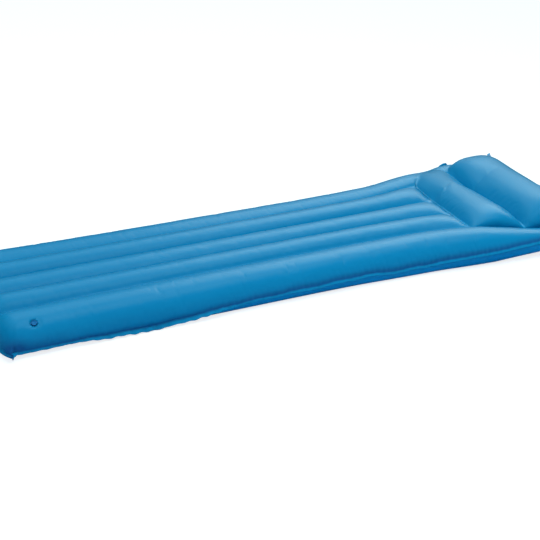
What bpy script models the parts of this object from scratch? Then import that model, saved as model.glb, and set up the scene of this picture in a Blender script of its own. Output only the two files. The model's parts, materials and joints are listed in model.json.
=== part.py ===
"""Inflatable beach mattress with five lengthwise tubes and a raised two-tube pillow.

The envelope is three thin sheets welded along their edges: a bottom sheet, a top sheet and a
pillow sheet. Four upright webs inside tie the top sheet to the bottom one and make the tubes.
The body and the pillow are separate air chambers, each with its own push-in valve.
X runs from the foot end to the head end, Z is up, and the floor is at Z = 0.
"""
import math

import bmesh
import bpy
from mathutils import Matrix, Vector

# Whole mattress, in metres
BODY_LENGTH = 1.820
FOOT_CORNER_SETBACK = 0.030
HEAD_CORNER_REACH = 0.031
RIM_WIDTH = 0.010
SHEET_THICKNESS = 0.0004
SEAM_GAP = 0.0003
WELD_BAND_WIDTH = 0.005
FLOOR_STRIP_WIDTH = 0.036
RIM_DROOP_ANGLE = math.radians(24.0)

# Side tubes, at the waist
SIDE_TUBE_OFFSET = 0.184
SIDE_TUBE_RADIUS = 0.056
SIDE_TUBE_HEIGHT = 0.112
RIM_HEIGHT = 0.091

# The three tubes between them
OUTER_SEAM_OFFSET = 0.1365
CENTRE_TUBE_HEIGHT = 0.117
SECOND_TUBE_HEIGHT = 0.120
GROOVE_HEIGHT = 0.086
LOWER_GROOVE_HEIGHT = 0.024
TUBE_CREST_ANGLE = math.radians(63.0)

# Ends of the tubes
FOOT_DOME_LENGTH = 0.050
HEAD_DOME_LENGTH = 0.086
FOOT_FLAT_HALF_WIDTH = 0.254
HEAD_FLAT_HALF_WIDTH = 0.322
FAR_RISE = 0.034

# Pillow
PILLOW_START = 1.457
PILLOW_SEAM = 1.612
PILLOW_MARGIN = 0.006
PILLOW_LIP_RISE = 0.0012
NECK_TUBE_HEIGHT = 0.137
HEAD_TUBE_HEIGHT = 0.154
NECK_TUBE_END_LENGTH = 0.060
HEAD_TUBE_END_LENGTH = 0.056

# Webs inside
WEB_FOOT_WIDTH = 0.004
WEB_END_GAP = 0.030

# Push-in valve, along its own axis from the outer face of the sheet
VALVE_PLACE = 0.104
VALVE_PAD_LENGTH = 0.028
VALVE_HOLE_RADIUS = 0.0092
FLANGE_RADIUS = 0.0120
FLANGE_THICKNESS = 0.0006
COLLAR_WALL = 0.0008
COLLAR_RISE = 0.0004
MEMBRANE_WALL = 0.0004
MEMBRANE_LIP_WIDTH = 0.0022
STEM_RADIUS = 0.0055
STEM_BORE_RADIUS = 0.0040
STEM_DEPTH = 0.0125
STEM_BEAD_RADIUS = 0.0064
STEM_BEAD_THICKNESS = 0.0009
PLUG_RADIUS = 0.0066
PLUG_THICKNESS = 0.0011
PLUG_ROUNDING = 0.0004
SPIGOT_LENGTH = 0.0040
SPIGOT_TAPER = 0.0007
TAB_LENGTH = 0.0038
TAB_WIDTH = 0.0046
STRAP_THICKNESS = 0.0006
STRAP_WIDTH = 0.0040
HINGE_REACH = 0.0028
EAR_OVERHANG = 0.0010
FLAP_THICKNESS = 0.0006
FLAP_MARGIN = 0.0003
CUT_OVERRUN = 0.002

# Vertices closer than this are joined when a profile is turned
MERGE_DISTANCE = 0.00001

# How square the pillow tubes' rounded ends are, 2 for an ellipse
PILLOW_END_POWER = 2.3

# Counts
SIDE_TUBE_FACETS = 6
INNER_TUBE_FACETS = 4
LOWER_FLANK_FACETS = 3
NECK_TUBE_FACETS = 7
HEAD_TUBE_FACETS = 9
PILLOW_END_FACETS = 5
PILLOW_MIDDLE_FACETS = 8
TURNED_STEPS = 24
VALVE_FACET = 3
PILLOW_VALVE_FACET = 8
PILLOW_VALVE_COLUMN = 2

# Side tube along the length: place, centre, radius, crest, seam to the next tube and rim height,
# as shares of the body's length and of the sizes that they follow
SIDE_TUBE_SHARES = (
    (0.000, 1.043, 1.000, 1.000, 1.040, 0.297),
    (0.066, 1.038, 1.000, 1.000, 1.035, 0.297),
    (0.154, 1.016, 1.000, 1.000, 1.018, 0.330),
    (0.374, 1.000, 1.000, 1.000, 1.000, 0.451),
    (0.594, 1.005, 1.000, 1.000, 1.011, 0.538),
    (0.703, 1.045, 0.995, 1.005, 1.070, 0.560),
    (0.793, 1.175, 0.965, 0.998, 1.253, 0.600),
    (0.841, 1.245, 0.860, 0.898, 1.355, 0.637),
    (0.901, 1.340, 0.690, 0.765, 1.545, 0.714),
    (0.951, 1.440, 0.510, 0.730, 1.745, 0.846),
    (1.000, 1.510, 0.380, 0.857, 1.890, 1.000),
)
# How far the side tube's underside is off the floor, as a share of the rim's height
SIDE_LIFT_SHARES = (
    (0.000, 0.00), (0.820, 0.00), (0.841, 0.03), (0.874, 0.09),
    (0.901, 0.15), (0.951, 0.32), (1.000, 0.56),
)
# How far the far side is drawn up under and beside the pillow, as a share of its greatest rise
FAR_RISE_SHARES = (
    (0.000, 0.00), (0.660, 0.00), (0.720, 0.02), (0.780, 0.14),
    (0.841, 0.52), (0.890, 0.94), (0.940, 0.50), (1.000, 0.08),
)
# Rows of the body between the valve pad and the pillow, as shares of that stretch
BODY_ROW_SHARES = (0.18, 0.42, 0.66, 0.88, 0.962, 0.986)
# Rows under each pillow tube, as shares of the tube's width
HEAD_ROW_SHARES = (0.54, 0.89)
NECK_ROW_SHARE = 0.48
# How much of a tube's bulge is left at the last rows before the pillow, as shares
PILLOW_FADE_SHARES = ((0.00, 1.00), (0.88, 1.00), (0.962, 0.93), (0.986, 0.66), (1.00, 0.00))

COLLECTION_NAME = "inflatable_beach_mattress"
CUTTER_COLLECTION_NAME = "cutters"

SHEET_BLUE = (0.020, 0.270, 0.560, 1.0)
PILLOW_BLUE = (0.022, 0.280, 0.575, 1.0)
WEB_BLUE = (0.030, 0.300, 0.600, 1.0)
VALVE_BLUE = (0.015, 0.200, 0.480, 1.0)
MEMBRANE_BLUE = (0.018, 0.230, 0.520, 1.0)


def clear_scene():
    """Remove whatever the file holds, so that the part stands alone."""
    for old in list(bpy.data.objects):
        bpy.data.objects.remove(old, do_unlink=True)


def make_collection(name):
    """Return a new collection that is linked to the scene."""
    collection = bpy.data.collections.new(name)
    bpy.context.scene.collection.children.link(collection)
    return collection


def make_material(name, color, roughness):
    """Return a plain Principled material."""
    material = bpy.data.materials.new(name)
    material.use_nodes = True
    shader = material.node_tree.nodes["Principled BSDF"]
    shader.inputs["Base Color"].default_value = color
    shader.inputs["Roughness"].default_value = roughness
    shader.inputs["Metallic"].default_value = 0.0
    return material


def follow(table, column, place):
    """Read one column of a table of shares at a place, on a smooth curve through its rows."""
    places = [row[0] for row in table]
    values = [row[column] for row in table]
    last = len(table) - 1
    place = min(max(place, places[0]), places[last])
    index = max(k for k in range(last) if places[k] <= place)
    span = places[index + 1] - places[index]
    step = (place - places[index]) / span

    def slope(k):
        low = max(k - 1, 0)
        high = min(k + 1, last)
        return (values[high] - values[low]) / (places[high] - places[low])

    rise = values[index + 1] - values[index]
    start = slope(index) * span
    end = slope(index + 1) * span
    curve = (start + end - 2 * rise) * step ** 3 + (3 * rise - 2 * start - end) * step ** 2
    return curve + start * step + values[index]


def head_weld_place():
    """Return where the top and bottom sheets are welded at the head, at the middle line."""
    return BODY_LENGTH - RIM_WIDTH


def frame_shift():
    """Return the distance from the foot edge to the middle of the whole length."""
    return (BODY_LENGTH + HEAD_CORNER_REACH) / 2


def sheet_stations():
    """Return the rows that the top and bottom sheets share, measured from the foot edge."""
    foot = [0.0, RIM_WIDTH]
    foot += [RIM_WIDTH + FOOT_DOME_LENGTH * (1 - math.cos(a)) for a in (math.pi / 6, math.pi / 3)]
    pad_start = VALVE_PLACE - VALVE_PAD_LENGTH / 2
    pad_end = VALVE_PLACE + VALVE_PAD_LENGTH / 2
    stretch = PILLOW_START - PILLOW_MARGIN - pad_end
    body = [pad_start, pad_end] + [pad_end + share * stretch for share in BODY_ROW_SHARES]
    neck = PILLOW_SEAM - PILLOW_START
    head = head_weld_place() - PILLOW_SEAM
    pillow = [PILLOW_START - PILLOW_MARGIN, PILLOW_START, PILLOW_START + NECK_ROW_SHARE * neck]
    pillow += [PILLOW_SEAM] + [PILLOW_SEAM + share * head for share in HEAD_ROW_SHARES]
    return foot + body + pillow + [head_weld_place(), BODY_LENGTH]


def end_fullness(place):
    """Return 0 at the end welds and 1 where the tubes are full, along a quarter ellipse."""
    from_foot = (place - RIM_WIDTH) / FOOT_DOME_LENGTH
    from_head = (head_weld_place() - place) / HEAD_DOME_LENGTH
    nearest = min(max(min(from_foot, from_head), 0.0), 1.0)
    return math.sqrt(1 - (1 - nearest) ** 2)


def at_head(place):
    """Say whether a place is nearer the head end than the foot end."""
    return place > BODY_LENGTH / 2


def side_tube(place):
    """Return the side tube's centre, radius, centre height, seam, rim and underside heights."""
    share = place / BODY_LENGTH
    centre = SIDE_TUBE_OFFSET * follow(SIDE_TUBE_SHARES, 1, share)
    radius = SIDE_TUBE_RADIUS * follow(SIDE_TUBE_SHARES, 2, share)
    crest = SIDE_TUBE_HEIGHT * follow(SIDE_TUBE_SHARES, 3, share)
    seam = OUTER_SEAM_OFFSET * follow(SIDE_TUBE_SHARES, 4, share)
    rim = RIM_HEIGHT * follow(SIDE_TUBE_SHARES, 5, share)
    lift = RIM_HEIGHT * max(follow(SIDE_LIFT_SHARES, 1, share), 0.0)
    return centre, radius, crest - radius, seam, rim, lift


def tube_outline(place, angle):
    """Return a side tube's outline point at an angle from its crest, outwards from the middle."""
    centre, radius, middle, _, _, lift = side_tube(place)
    depth = radius
    if math.cos(angle) < 0:
        strip_angle = math.asin(FLOOR_STRIP_WIDTH / 2 / SIDE_TUBE_RADIUS)
        depth = (middle - lift) / math.cos(strip_angle)
    return centre + radius * math.sin(angle), middle + depth * math.cos(angle)


def rim_angle(place):
    """Return the angle from the crest at which the side tube meets the rim."""
    _, radius, middle, _, rim, lift = side_tube(place)
    strip_angle = math.asin(FLOOR_STRIP_WIDTH / 2 / SIDE_TUBE_RADIUS)
    depth = radius if rim > middle else (middle - lift) / math.cos(strip_angle)
    return math.acos((rim - middle) / depth)


def seam_angle(place):
    """Return the angle from the crest at which the side tube meets the weld to the next tube."""
    centre, radius, _, seam, _, _ = side_tube(place)
    return math.asin((centre - seam - WELD_BAND_WIDTH / 2) / radius)


def tube_top_points(place):
    """Return the upper outline of the near half of a section, from the rim to the middle line."""
    start = rim_angle(place)
    end = -seam_angle(place)
    steps = range(SIDE_TUBE_FACETS + 1)
    outline = [tube_outline(place, start + (end - start) * k / SIDE_TUBE_FACETS) for k in steps]
    _, _, _, seam, _, _ = side_tube(place)
    half_band = WELD_BAND_WIDTH / 2
    seam_height = outline[-1][1]
    if place >= PILLOW_START - PILLOW_MARGIN:
        floor = pillow_floor(place)
        edges = (seam - half_band, seam / 3 + half_band, seam / 3 - half_band, -seam / 3 + half_band)
        outline += [(edges[0] + (edges[1] - edges[0]) * k / INNER_TUBE_FACETS, floor)
                    for k in range(INNER_TUBE_FACETS + 1)]
        outline += [(edges[2] + (edges[3] - edges[2]) * k / INNER_TUBE_FACETS, floor)
                    for k in range(INNER_TUBE_FACETS // 2 + 1)]
        return outline
    along = (place - VALVE_PLACE) / (PILLOW_START - PILLOW_MARGIN - VALVE_PLACE)
    left = follow(PILLOW_FADE_SHARES, 1, along)
    level = pillow_floor(PILLOW_START)
    groove = GROOVE_HEIGHT * left + level * (1 - left)
    second = SECOND_TUBE_HEIGHT * left + level * (1 - left)
    centre = CENTRE_TUBE_HEIGHT * left + level * (1 - left)
    outline += bulge(seam - half_band, seam_height, seam / 3 + half_band, groove, second)
    arc = bulge(seam / 3 - half_band, groove, -seam / 3 + half_band, groove, centre)
    return outline + arc[:INNER_TUBE_FACETS // 2 + 1]


def bulge(start, start_height, end, end_height, crest):
    """Return an arched tube top between two weld lines."""
    points = []
    for k in range(INNER_TUBE_FACETS + 1):
        angle = TUBE_CREST_ANGLE * (2 * k / INNER_TUBE_FACETS - 1)
        across = (1 + math.sin(angle) / math.sin(TUBE_CREST_ANGLE)) / 2
        rise = (math.cos(angle) - math.cos(TUBE_CREST_ANGLE)) / (1 - math.cos(TUBE_CREST_ANGLE))
        base = start_height + (end_height - start_height) * across
        peak = crest - (start_height + end_height) / 2
        points.append((start + (end - start) * across, base + peak * rise))
    return points


def pillow_floor(place):
    """Return the height of the top sheet under the pillow, level with the side tube's seam."""
    return tube_outline(place, -seam_angle(place))[1]


def tube_bottom_points(place):
    """Return the lower outline of the near half of a section, from the rim to the middle line."""
    centre, _, _, seam, _, lift = side_tube(place)
    start = rim_angle(place)
    strip = FLOOR_STRIP_WIDTH / 2
    end = math.pi - math.asin(strip / SIDE_TUBE_RADIUS)
    steps = range(LOWER_FLANK_FACETS)
    outline = [tube_outline(place, start + (end - start) * k / LOWER_FLANK_FACETS) for k in steps]
    radius_share = side_tube(place)[1] / SIDE_TUBE_RADIUS
    reach = strip * radius_share
    held = follow(SIDE_LIFT_SHARES, 1, place / BODY_LENGTH)
    groove = LOWER_GROOVE_HEIGHT if place <= PILLOW_SEAM else LOWER_GROOVE_HEIGHT * (1 - held) / 2
    inner_groove = LOWER_GROOVE_HEIGHT if place <= PILLOW_START else 0.0
    half_band = WELD_BAND_WIDTH / 2
    flank = centre - reach - (seam + half_band)
    groove = max(groove, lift)
    outline += [(centre + reach, lift), (centre - reach, lift)]
    outline += [(centre - reach - flank * math.sin(math.pi / 4),
                 lift + (groove - lift) * (1 - math.cos(math.pi / 4)))]
    inner_flank = (seam * 2 / 3 - WELD_BAND_WIDTH - FLOOR_STRIP_WIDTH) / 2
    outline += [(seam + half_band, groove), (seam - half_band, groove)]
    outline += [(seam - half_band - inner_flank, 0.0), (seam / 3 + half_band + inner_flank, 0.0)]
    outline += [(seam / 3 + half_band, inner_groove), (seam / 3 - half_band, inner_groove)]
    outline += [(seam / 3 - half_band - inner_flank, 0.0)]
    return outline


def flatten_towards_weld(outline, place, level):
    """Draw a section down to a level line near an end weld, where the corners spread out."""
    full = end_fullness(place)
    flat_half = HEAD_FLAT_HALF_WIDTH if at_head(place) else FOOT_FLAT_HALF_WIDTH
    inner_end = outline[SIDE_TUBE_FACETS][0]
    points = []
    for k, (across, height) in enumerate(outline):
        flat = across
        if k < SIDE_TUBE_FACETS:
            flat = flat_half + (inner_end - flat_half) * k / SIDE_TUBE_FACETS
        points.append((flat + (across - flat) * full, level + (height - level) * full))
    return points


def along_with_corners(place, across):
    """Return the X position of a point: foot corners lie back, head corners reach out."""
    to_foot = 1 - (place - RIM_WIDTH) / FOOT_DOME_LENGTH
    to_head = (place - PILLOW_SEAM) / (head_weld_place() - PILLOW_SEAM)
    foot_share = min(max(to_foot, 0.0), 1.0) * (abs(across) / FOOT_FLAT_HALF_WIDTH) ** 3
    head_edge = HEAD_FLAT_HALF_WIDTH + RIM_WIDTH
    head_share = min(max(to_head, 0.0), 1.0) * (abs(across) / head_edge) ** 3
    return place + FOOT_CORNER_SETBACK * foot_share + HEAD_CORNER_REACH * head_share - frame_shift()


def drawn_up(place, across):
    """Return how far a point of the far side is raised under the pillow and beside it."""
    _, _, _, seam, _, _ = side_tube(place)
    inner = seam / 3 + WELD_BAND_WIDTH / 2
    outer = seam - WELD_BAND_WIDTH / 2
    outwards = min(max((across - inner) / (outer - inner), 0.0), 1.0)
    return FAR_RISE * max(follow(FAR_RISE_SHARES, 1, place / BODY_LENGTH), 0.0) * outwards


def sheet_row(station, upper):
    """Return one row of the top or bottom sheet's outer face, from the near rim to the far one."""
    place = min(max(station, RIM_WIDTH), head_weld_place())
    side = 1 if upper else -1
    rim = side_tube(place)[4]
    raised = side * (SEAM_GAP / 2 + SHEET_THICKNESS)
    outline = tube_top_points(place) if upper else tube_bottom_points(place)
    outline = flatten_towards_weld(outline, place, rim + raised)
    full = end_fullness(place)
    weld_flat = HEAD_FLAT_HALF_WIDTH if at_head(place) else FOOT_FLAT_HALF_WIDTH
    weld_across, weld_height = tube_outline(place, rim_angle(place))
    weld_across = weld_flat + (weld_across - weld_flat) * full
    weld_height = rim + (weld_height - rim) * full
    droop = RIM_DROOP_ANGLE * full
    lean = raised * math.sin(droop)
    outline[0] = (weld_across + lean, weld_height + raised * math.cos(droop))
    edge = (weld_across + lean + RIM_WIDTH * math.cos(droop),
            weld_height + raised * math.cos(droop) - RIM_WIDTH * math.sin(droop))
    half = [edge] + outline
    middle = half[:-1] if upper else half
    near = [(-across, height) for across, height in half]
    far = [(across, height) for across, height in reversed(middle)]
    outer = station - place
    return [Vector((along_with_corners(place, across) + outer, across,
                    height + drawn_up(place, across)))
            for across, height in near + far]


def sheet_points(upper):
    """Return every row of the top or bottom sheet."""
    return [sheet_row(station, upper) for station in sheet_stations()]


def between_rows(rows, place):
    """Return a row of the top sheet at any place, on the straight lines between its rows."""
    stations = sheet_stations()
    place = min(max(place, stations[0]), stations[-1])
    index = max(k for k in range(len(stations) - 1) if stations[k] <= place)
    share = (place - stations[index]) / (stations[index + 1] - stations[index])
    return [a.lerp(b, share) for a, b in zip(rows[index], rows[index + 1])]


def tube_arc(start, end, start_height, end_height, crest, facets):
    """Return places and heights along a crosswise tube, an arc between its two welds."""
    half = (end - start) / 2
    rise = crest - (start_height + end_height) / 2
    limit = 2 * math.atan(rise / half)
    points = []
    for k in range(facets + 1):
        angle = limit * (2 * k / facets - 1)
        across = (1 + math.sin(angle) / math.sin(limit)) / 2
        lifted = rise * (math.cos(angle) - math.cos(limit)) / (1 - math.cos(limit))
        base = start_height + (end_height - start_height) * across
        points.append((start + (end - start) * across, base + lifted))
    return points


def pillow_profile(rows):
    """Return places and heights of the pillow sheet along its middle line."""
    seam_column = SIDE_TUBE_FACETS + 2
    raised = SEAM_GAP + SHEET_THICKNESS

    def level(place):
        return between_rows(rows, place)[seam_column].z + raised

    half_band = WELD_BAND_WIDTH / 2
    first = PILLOW_SEAM - half_band
    second = PILLOW_SEAM + half_band
    weld = head_weld_place()
    profile = [(PILLOW_START - PILLOW_MARGIN, level(PILLOW_START) + PILLOW_LIP_RISE)]
    profile += tube_arc(PILLOW_START, first, level(PILLOW_START), level(first), NECK_TUBE_HEIGHT,
                        NECK_TUBE_FACETS)
    profile += tube_arc(second, weld, level(second), level(weld), HEAD_TUBE_HEIGHT,
                        HEAD_TUBE_FACETS)
    return profile + [(BODY_LENGTH, level(weld))]


def pillow_columns(half_width, end_length):
    """Return places across the pillow, closer together on its rounded ends."""
    steps = range(PILLOW_END_FACETS + 1)
    end = [half_width - end_length * (1 - math.cos(math.pi / 2 * k / PILLOW_END_FACETS))
           for k in steps]
    flat = half_width - end_length
    middle = [flat * (1 - 2 * k / PILLOW_MIDDLE_FACETS) for k in range(1, PILLOW_MIDDLE_FACETS)]
    across = end + middle + [-place for place in reversed(end)]
    return [-place for place in across]


def pillow_points(rows):
    """Return every row of the pillow sheet's outer face."""
    seam_column = SIDE_TUBE_FACETS + 2
    points = []
    for place, height in pillow_profile(rows):
        within = min(max(place, PILLOW_START - PILLOW_MARGIN), BODY_LENGTH)
        seam = between_rows(rows, within)[seam_column]
        half_width = abs(seam.y)
        to_head = (place - PILLOW_START) / (head_weld_place() - PILLOW_START)
        to_head = min(max(to_head, 0.0), 1.0)
        end_length = NECK_TUBE_END_LENGTH + (HEAD_TUBE_END_LENGTH - NECK_TUBE_END_LENGTH) * to_head
        base = seam.z + SEAM_GAP + SHEET_THICKNESS
        margin = place < PILLOW_START or place > head_weld_place()
        row = []
        for across in pillow_columns(half_width, end_length):
            inward = min((half_width - abs(across)) / end_length, 1.0)
            left = 1 - (1 - inward) ** PILLOW_END_POWER
            full = 1.0 if margin else max(left, 0.0) ** (1 / PILLOW_END_POWER)
            weld = min(max(place, RIM_WIDTH), head_weld_place())
            along = along_with_corners(weld, across) + place - weld
            raised = drawn_up(weld, across)
            row.append(Vector((along, across, base + (height - base) * full + raised)))
        points.append(row)
    return points


def sheet_object(name, points, outward, material, collection):
    """Make a thin sheet from rows of points on its outer face."""
    mesh = bpy.data.meshes.new(name)
    grid = bmesh.new()
    columns = len(points[0])
    bmesh.ops.create_grid(grid, x_segments=len(points) - 1, y_segments=columns - 1, size=1.0)
    for vertex in grid.verts:
        row = round((vertex.co.x + 1) / 2 * (len(points) - 1))
        column = round((vertex.co.y + 1) / 2 * (columns - 1))
        vertex.co = points[row][column]
    bmesh.ops.triangulate(grid, faces=grid.faces[:], quad_method="SHORT_EDGE")
    if not outward:
        bmesh.ops.reverse_faces(grid, faces=grid.faces[:])
    grid.to_mesh(mesh)
    grid.free()
    mesh.materials.append(material)
    sheet = bpy.data.objects.new(name, mesh)
    collection.objects.link(sheet)
    solidify = sheet.modifiers.new("sheet", "SOLIDIFY")
    solidify.thickness = SHEET_THICKNESS
    solidify.offset = -1.0
    mesh.shade_smooth()
    mesh.set_sharp_from_angle(angle=math.radians(50.0))
    return sheet


def web_points(top_rows, bottom_rows, band, side, first, last):
    """Return rows of a web: a strip with a welded foot under the top sheet and on the bottom."""
    top_column = (SIDE_TUBE_FACETS + 1, SIDE_TUBE_FACETS + INNER_TUBE_FACETS + 2)[band]
    bottom_column = (SIDE_TUBE_FACETS + 1, SIDE_TUBE_FACETS + 5)[band]
    inset = (WELD_BAND_WIDTH - WEB_FOOT_WIDTH) / 2 / WELD_BAND_WIDTH
    offset = Vector((0.0, 0.0, SHEET_THICKNESS + SEAM_GAP))
    points = []
    for top_row, bottom_row in list(zip(top_rows, bottom_rows))[first:last]:
        if side > 0:
            top_row = list(reversed(top_row))
            bottom_row = list(reversed(bottom_row))
        high = [top_row[top_column + 1].lerp(top_row[top_column], share) - offset
                for share in (inset, 1 - inset)]
        low = [bottom_row[bottom_column + 1].lerp(bottom_row[bottom_column], share) + offset
               for share in (inset, 1 - inset)]
        points.append([high[0], high[1], low[1], low[0]])
    return points


def turned_object(name, profile, material, collection):
    """Turn a closed profile of radii and heights into a solid of revolution."""
    mesh = bpy.data.meshes.new(name)
    on_axis = profile[0][0] == 0.0 and profile[-1][0] == 0.0
    count = len(profile)
    edges = [(k, k + 1) for k in range(count - 1)]
    if not on_axis:
        edges.append((count - 1, 0))
    mesh.from_pydata([(radius, 0.0, height) for radius, height in profile], edges, [])
    mesh.materials.append(material)
    turned = bpy.data.objects.new(name, mesh)
    collection.objects.link(turned)
    screw = turned.modifiers.new("turn", "SCREW")
    screw.angle = math.tau
    screw.steps = TURNED_STEPS
    screw.render_steps = TURNED_STEPS
    screw.use_merge_vertices = True
    screw.merge_threshold = MERGE_DISTANCE
    graph = bpy.context.evaluated_depsgraph_get()
    solid = bpy.data.meshes.new_from_object(turned.evaluated_get(graph))
    turned.modifiers.clear()
    turned.data = solid
    bpy.data.meshes.remove(mesh)
    solid.name = name
    solid.shade_smooth()
    solid.set_sharp_from_angle(angle=math.radians(40.0))
    return turned


def box_object(name, low, high, collection):
    """Make a block between two corners, used to join to or cut from another piece."""
    mesh = bpy.data.meshes.new(name)
    block = bmesh.new()
    size = Vector(high) - Vector(low)
    middle = (Vector(high) + Vector(low)) / 2
    placed = Matrix.Translation(middle) @ Matrix.Diagonal((*size, 1.0))
    bmesh.ops.create_cube(block, size=1.0, matrix=placed)
    block.to_mesh(mesh)
    block.free()
    box = bpy.data.objects.new(name, mesh)
    collection.objects.link(box)
    box.hide_render = True
    box.display_type = "WIRE"
    return box


def add_boolean(target, tool, operation):
    """Join a tool to a piece or cut it away."""
    boolean = target.modifiers.new(operation.lower(), "BOOLEAN")
    boolean.operation = operation
    boolean.object = tool
    boolean.solver = "EXACT"


def seat_matrix(corners, along):
    """Return the frame of a flat facet: Z out of the sheet and X along the given direction."""
    middle = sum(corners, Vector()) / len(corners)
    out = (corners[2] - corners[0]).cross(corners[3] - corners[1]).normalized()
    if out.z < 0:
        out = -out
    first = (along - out * along.dot(out)).normalized()
    second = out.cross(first)
    rotation = Matrix((first, second, out)).transposed()
    return Matrix.Translation(middle) @ rotation.to_4x4()


def facet_corners(points, row, column):
    """Return the four corners of one facet of a sheet, in order round it."""
    return [points[row][column], points[row + 1][column],
            points[row + 1][column + 1], points[row][column + 1]]


class Valve:
    """A push-in valve: flange, funnel membrane, sliding stem, hinged plug and inner flap."""

    def __init__(self, name, seat, sheet, collection, cutters, materials):
        self.name = name
        self.sheet = sheet
        self.collection = collection
        self.cutters = cutters
        self.rigid, self.soft = materials
        self.flange_top = -SHEET_THICKNESS - SEAM_GAP
        self.flange_bottom = self.flange_top - FLANGE_THICKNESS
        self.collar_radius = VALVE_HOLE_RADIUS - SEAM_GAP
        self.throat_radius = self.collar_radius - COLLAR_WALL
        self.stem_top = COLLAR_RISE + SEAM_GAP + STEM_BEAD_THICKNESS
        self.plug_bottom = self.stem_top + SEAM_GAP
        self.plug_hinge = (-(PLUG_RADIUS + HINGE_REACH), self.plug_bottom + STRAP_THICKNESS / 2)
        self.flap_top = -STEM_DEPTH - SEAM_GAP
        self.flap_hinge = (-STEM_RADIUS, self.flap_top - FLAP_THICKNESS / 2)
        self.frame = bpy.data.objects.new(name + "_seat", None)
        self.frame.matrix_world = seat
        collection.objects.link(self.frame)

    def build(self):
        """Make the five pieces and the hole that they sit in."""
        self.cut_sheet()
        self.add_flange()
        self.add_membrane()
        stem = self.add_stem()
        self.add_plug(stem)
        self.add_flap(stem)

    def node(self, piece):
        """Return the full name of one of the valve's pieces."""
        return self.name + "_" + piece

    def cut_sheet(self):
        """Cut the round hole that the collar stands in."""
        mesh = bpy.data.meshes.new(self.node("hole"))
        cylinder = bmesh.new()
        bmesh.ops.create_cone(cylinder, cap_ends=True, segments=TURNED_STEPS,
                              radius1=VALVE_HOLE_RADIUS, radius2=VALVE_HOLE_RADIUS,
                              depth=CUT_OVERRUN * 2)
        cylinder.to_mesh(mesh)
        cylinder.free()
        hole = bpy.data.objects.new(self.node("hole"), mesh)
        self.cutters.objects.link(hole)
        hole.parent = self.frame
        hole.hide_render = True
        hole.display_type = "WIRE"
        add_boolean(self.sheet, hole, "DIFFERENCE")

    def add_flange(self):
        """Make the flange: a disc welded inside the sheet, with a collar up through the hole."""
        profile = [(self.collar_radius, COLLAR_RISE), (self.collar_radius, self.flange_top),
                   (FLANGE_RADIUS, self.flange_top), (FLANGE_RADIUS, self.flange_bottom),
                   (self.throat_radius, self.flange_bottom), (self.throat_radius, COLLAR_RISE)]
        flange = turned_object(self.node("flange"), profile, self.rigid, self.collection)
        flange.parent = self.frame

    def add_membrane(self):
        """Make the funnel that hangs from the flange and is welded round the foot of the stem."""
        top = self.flange_bottom - SEAM_GAP
        inner = STEM_RADIUS + SEAM_GAP
        lip = self.throat_radius + MEMBRANE_LIP_WIDTH
        low = MEMBRANE_WALL - STEM_DEPTH
        cuff = low + 3 * MEMBRANE_WALL
        neck = self.throat_radius - MEMBRANE_WALL / 2
        profile = [(lip, top), (lip, top - MEMBRANE_WALL),
                   (neck + MEMBRANE_WALL, top - MEMBRANE_WALL), (inner + MEMBRANE_WALL, cuff),
                   (inner + MEMBRANE_WALL, low), (inner, low), (inner, cuff), (neck, top)]
        membrane = turned_object(self.node("membrane"), profile, self.soft, self.collection)
        membrane.parent = self.frame

    def add_stem(self):
        """Make the tube that is pushed in or pulled out, with the ear that carries the plug."""
        bead = self.stem_top - STEM_BEAD_THICKNESS
        profile = [(STEM_BEAD_RADIUS, self.stem_top), (STEM_BEAD_RADIUS, bead),
                   (STEM_RADIUS, bead), (STEM_RADIUS, -STEM_DEPTH),
                   (STEM_BORE_RADIUS, -STEM_DEPTH), (STEM_BORE_RADIUS, self.stem_top)]
        stem = turned_object(self.node("stem"), profile, self.rigid, self.collection)
        stem.parent = self.frame
        half = STRAP_WIDTH / 2
        inner = -(STEM_RADIUS + STEM_BORE_RADIUS) / 2
        ear = box_object(self.node("ear"), (self.plug_hinge[0] - EAR_OVERHANG, -half, bead),
                         (inner, half, self.stem_top), self.cutters)
        ear.parent = stem
        add_boolean(stem, ear, "UNION")
        return stem

    def add_plug(self, stem):
        """Make the plug with its spigot, strap and pull tab; its origin is on its hinge."""
        hinge_x, hinge_z = self.plug_hinge
        spigot = STEM_BORE_RADIUS - SEAM_GAP
        bottom = self.plug_bottom
        top = bottom + PLUG_THICKNESS
        profile = [(0.0, top), (PLUG_RADIUS - PLUG_ROUNDING, top),
                   (PLUG_RADIUS, top - PLUG_ROUNDING), (PLUG_RADIUS, bottom), (spigot, bottom),
                   (spigot - SPIGOT_TAPER, bottom - SPIGOT_LENGTH), (0.0, bottom - SPIGOT_LENGTH)]
        plug = turned_object(self.node("plug"), profile, self.rigid, self.collection)
        reach = (PLUG_RADIUS + spigot) / 2
        strap_top = bottom + STRAP_THICKNESS
        strap = box_object(self.node("strap"), (hinge_x, -STRAP_WIDTH / 2, bottom),
                           (-reach, STRAP_WIDTH / 2, strap_top), self.cutters)
        tab = box_object(self.node("tab"), (reach, -TAB_WIDTH / 2, bottom),
                         (PLUG_RADIUS + TAB_LENGTH, TAB_WIDTH / 2, strap_top), self.cutters)
        for tool in (strap, tab):
            add_boolean(plug, tool, "UNION")
        self.hang(plug, (strap, tab), stem, Vector((hinge_x, 0.0, hinge_z)))

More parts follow.
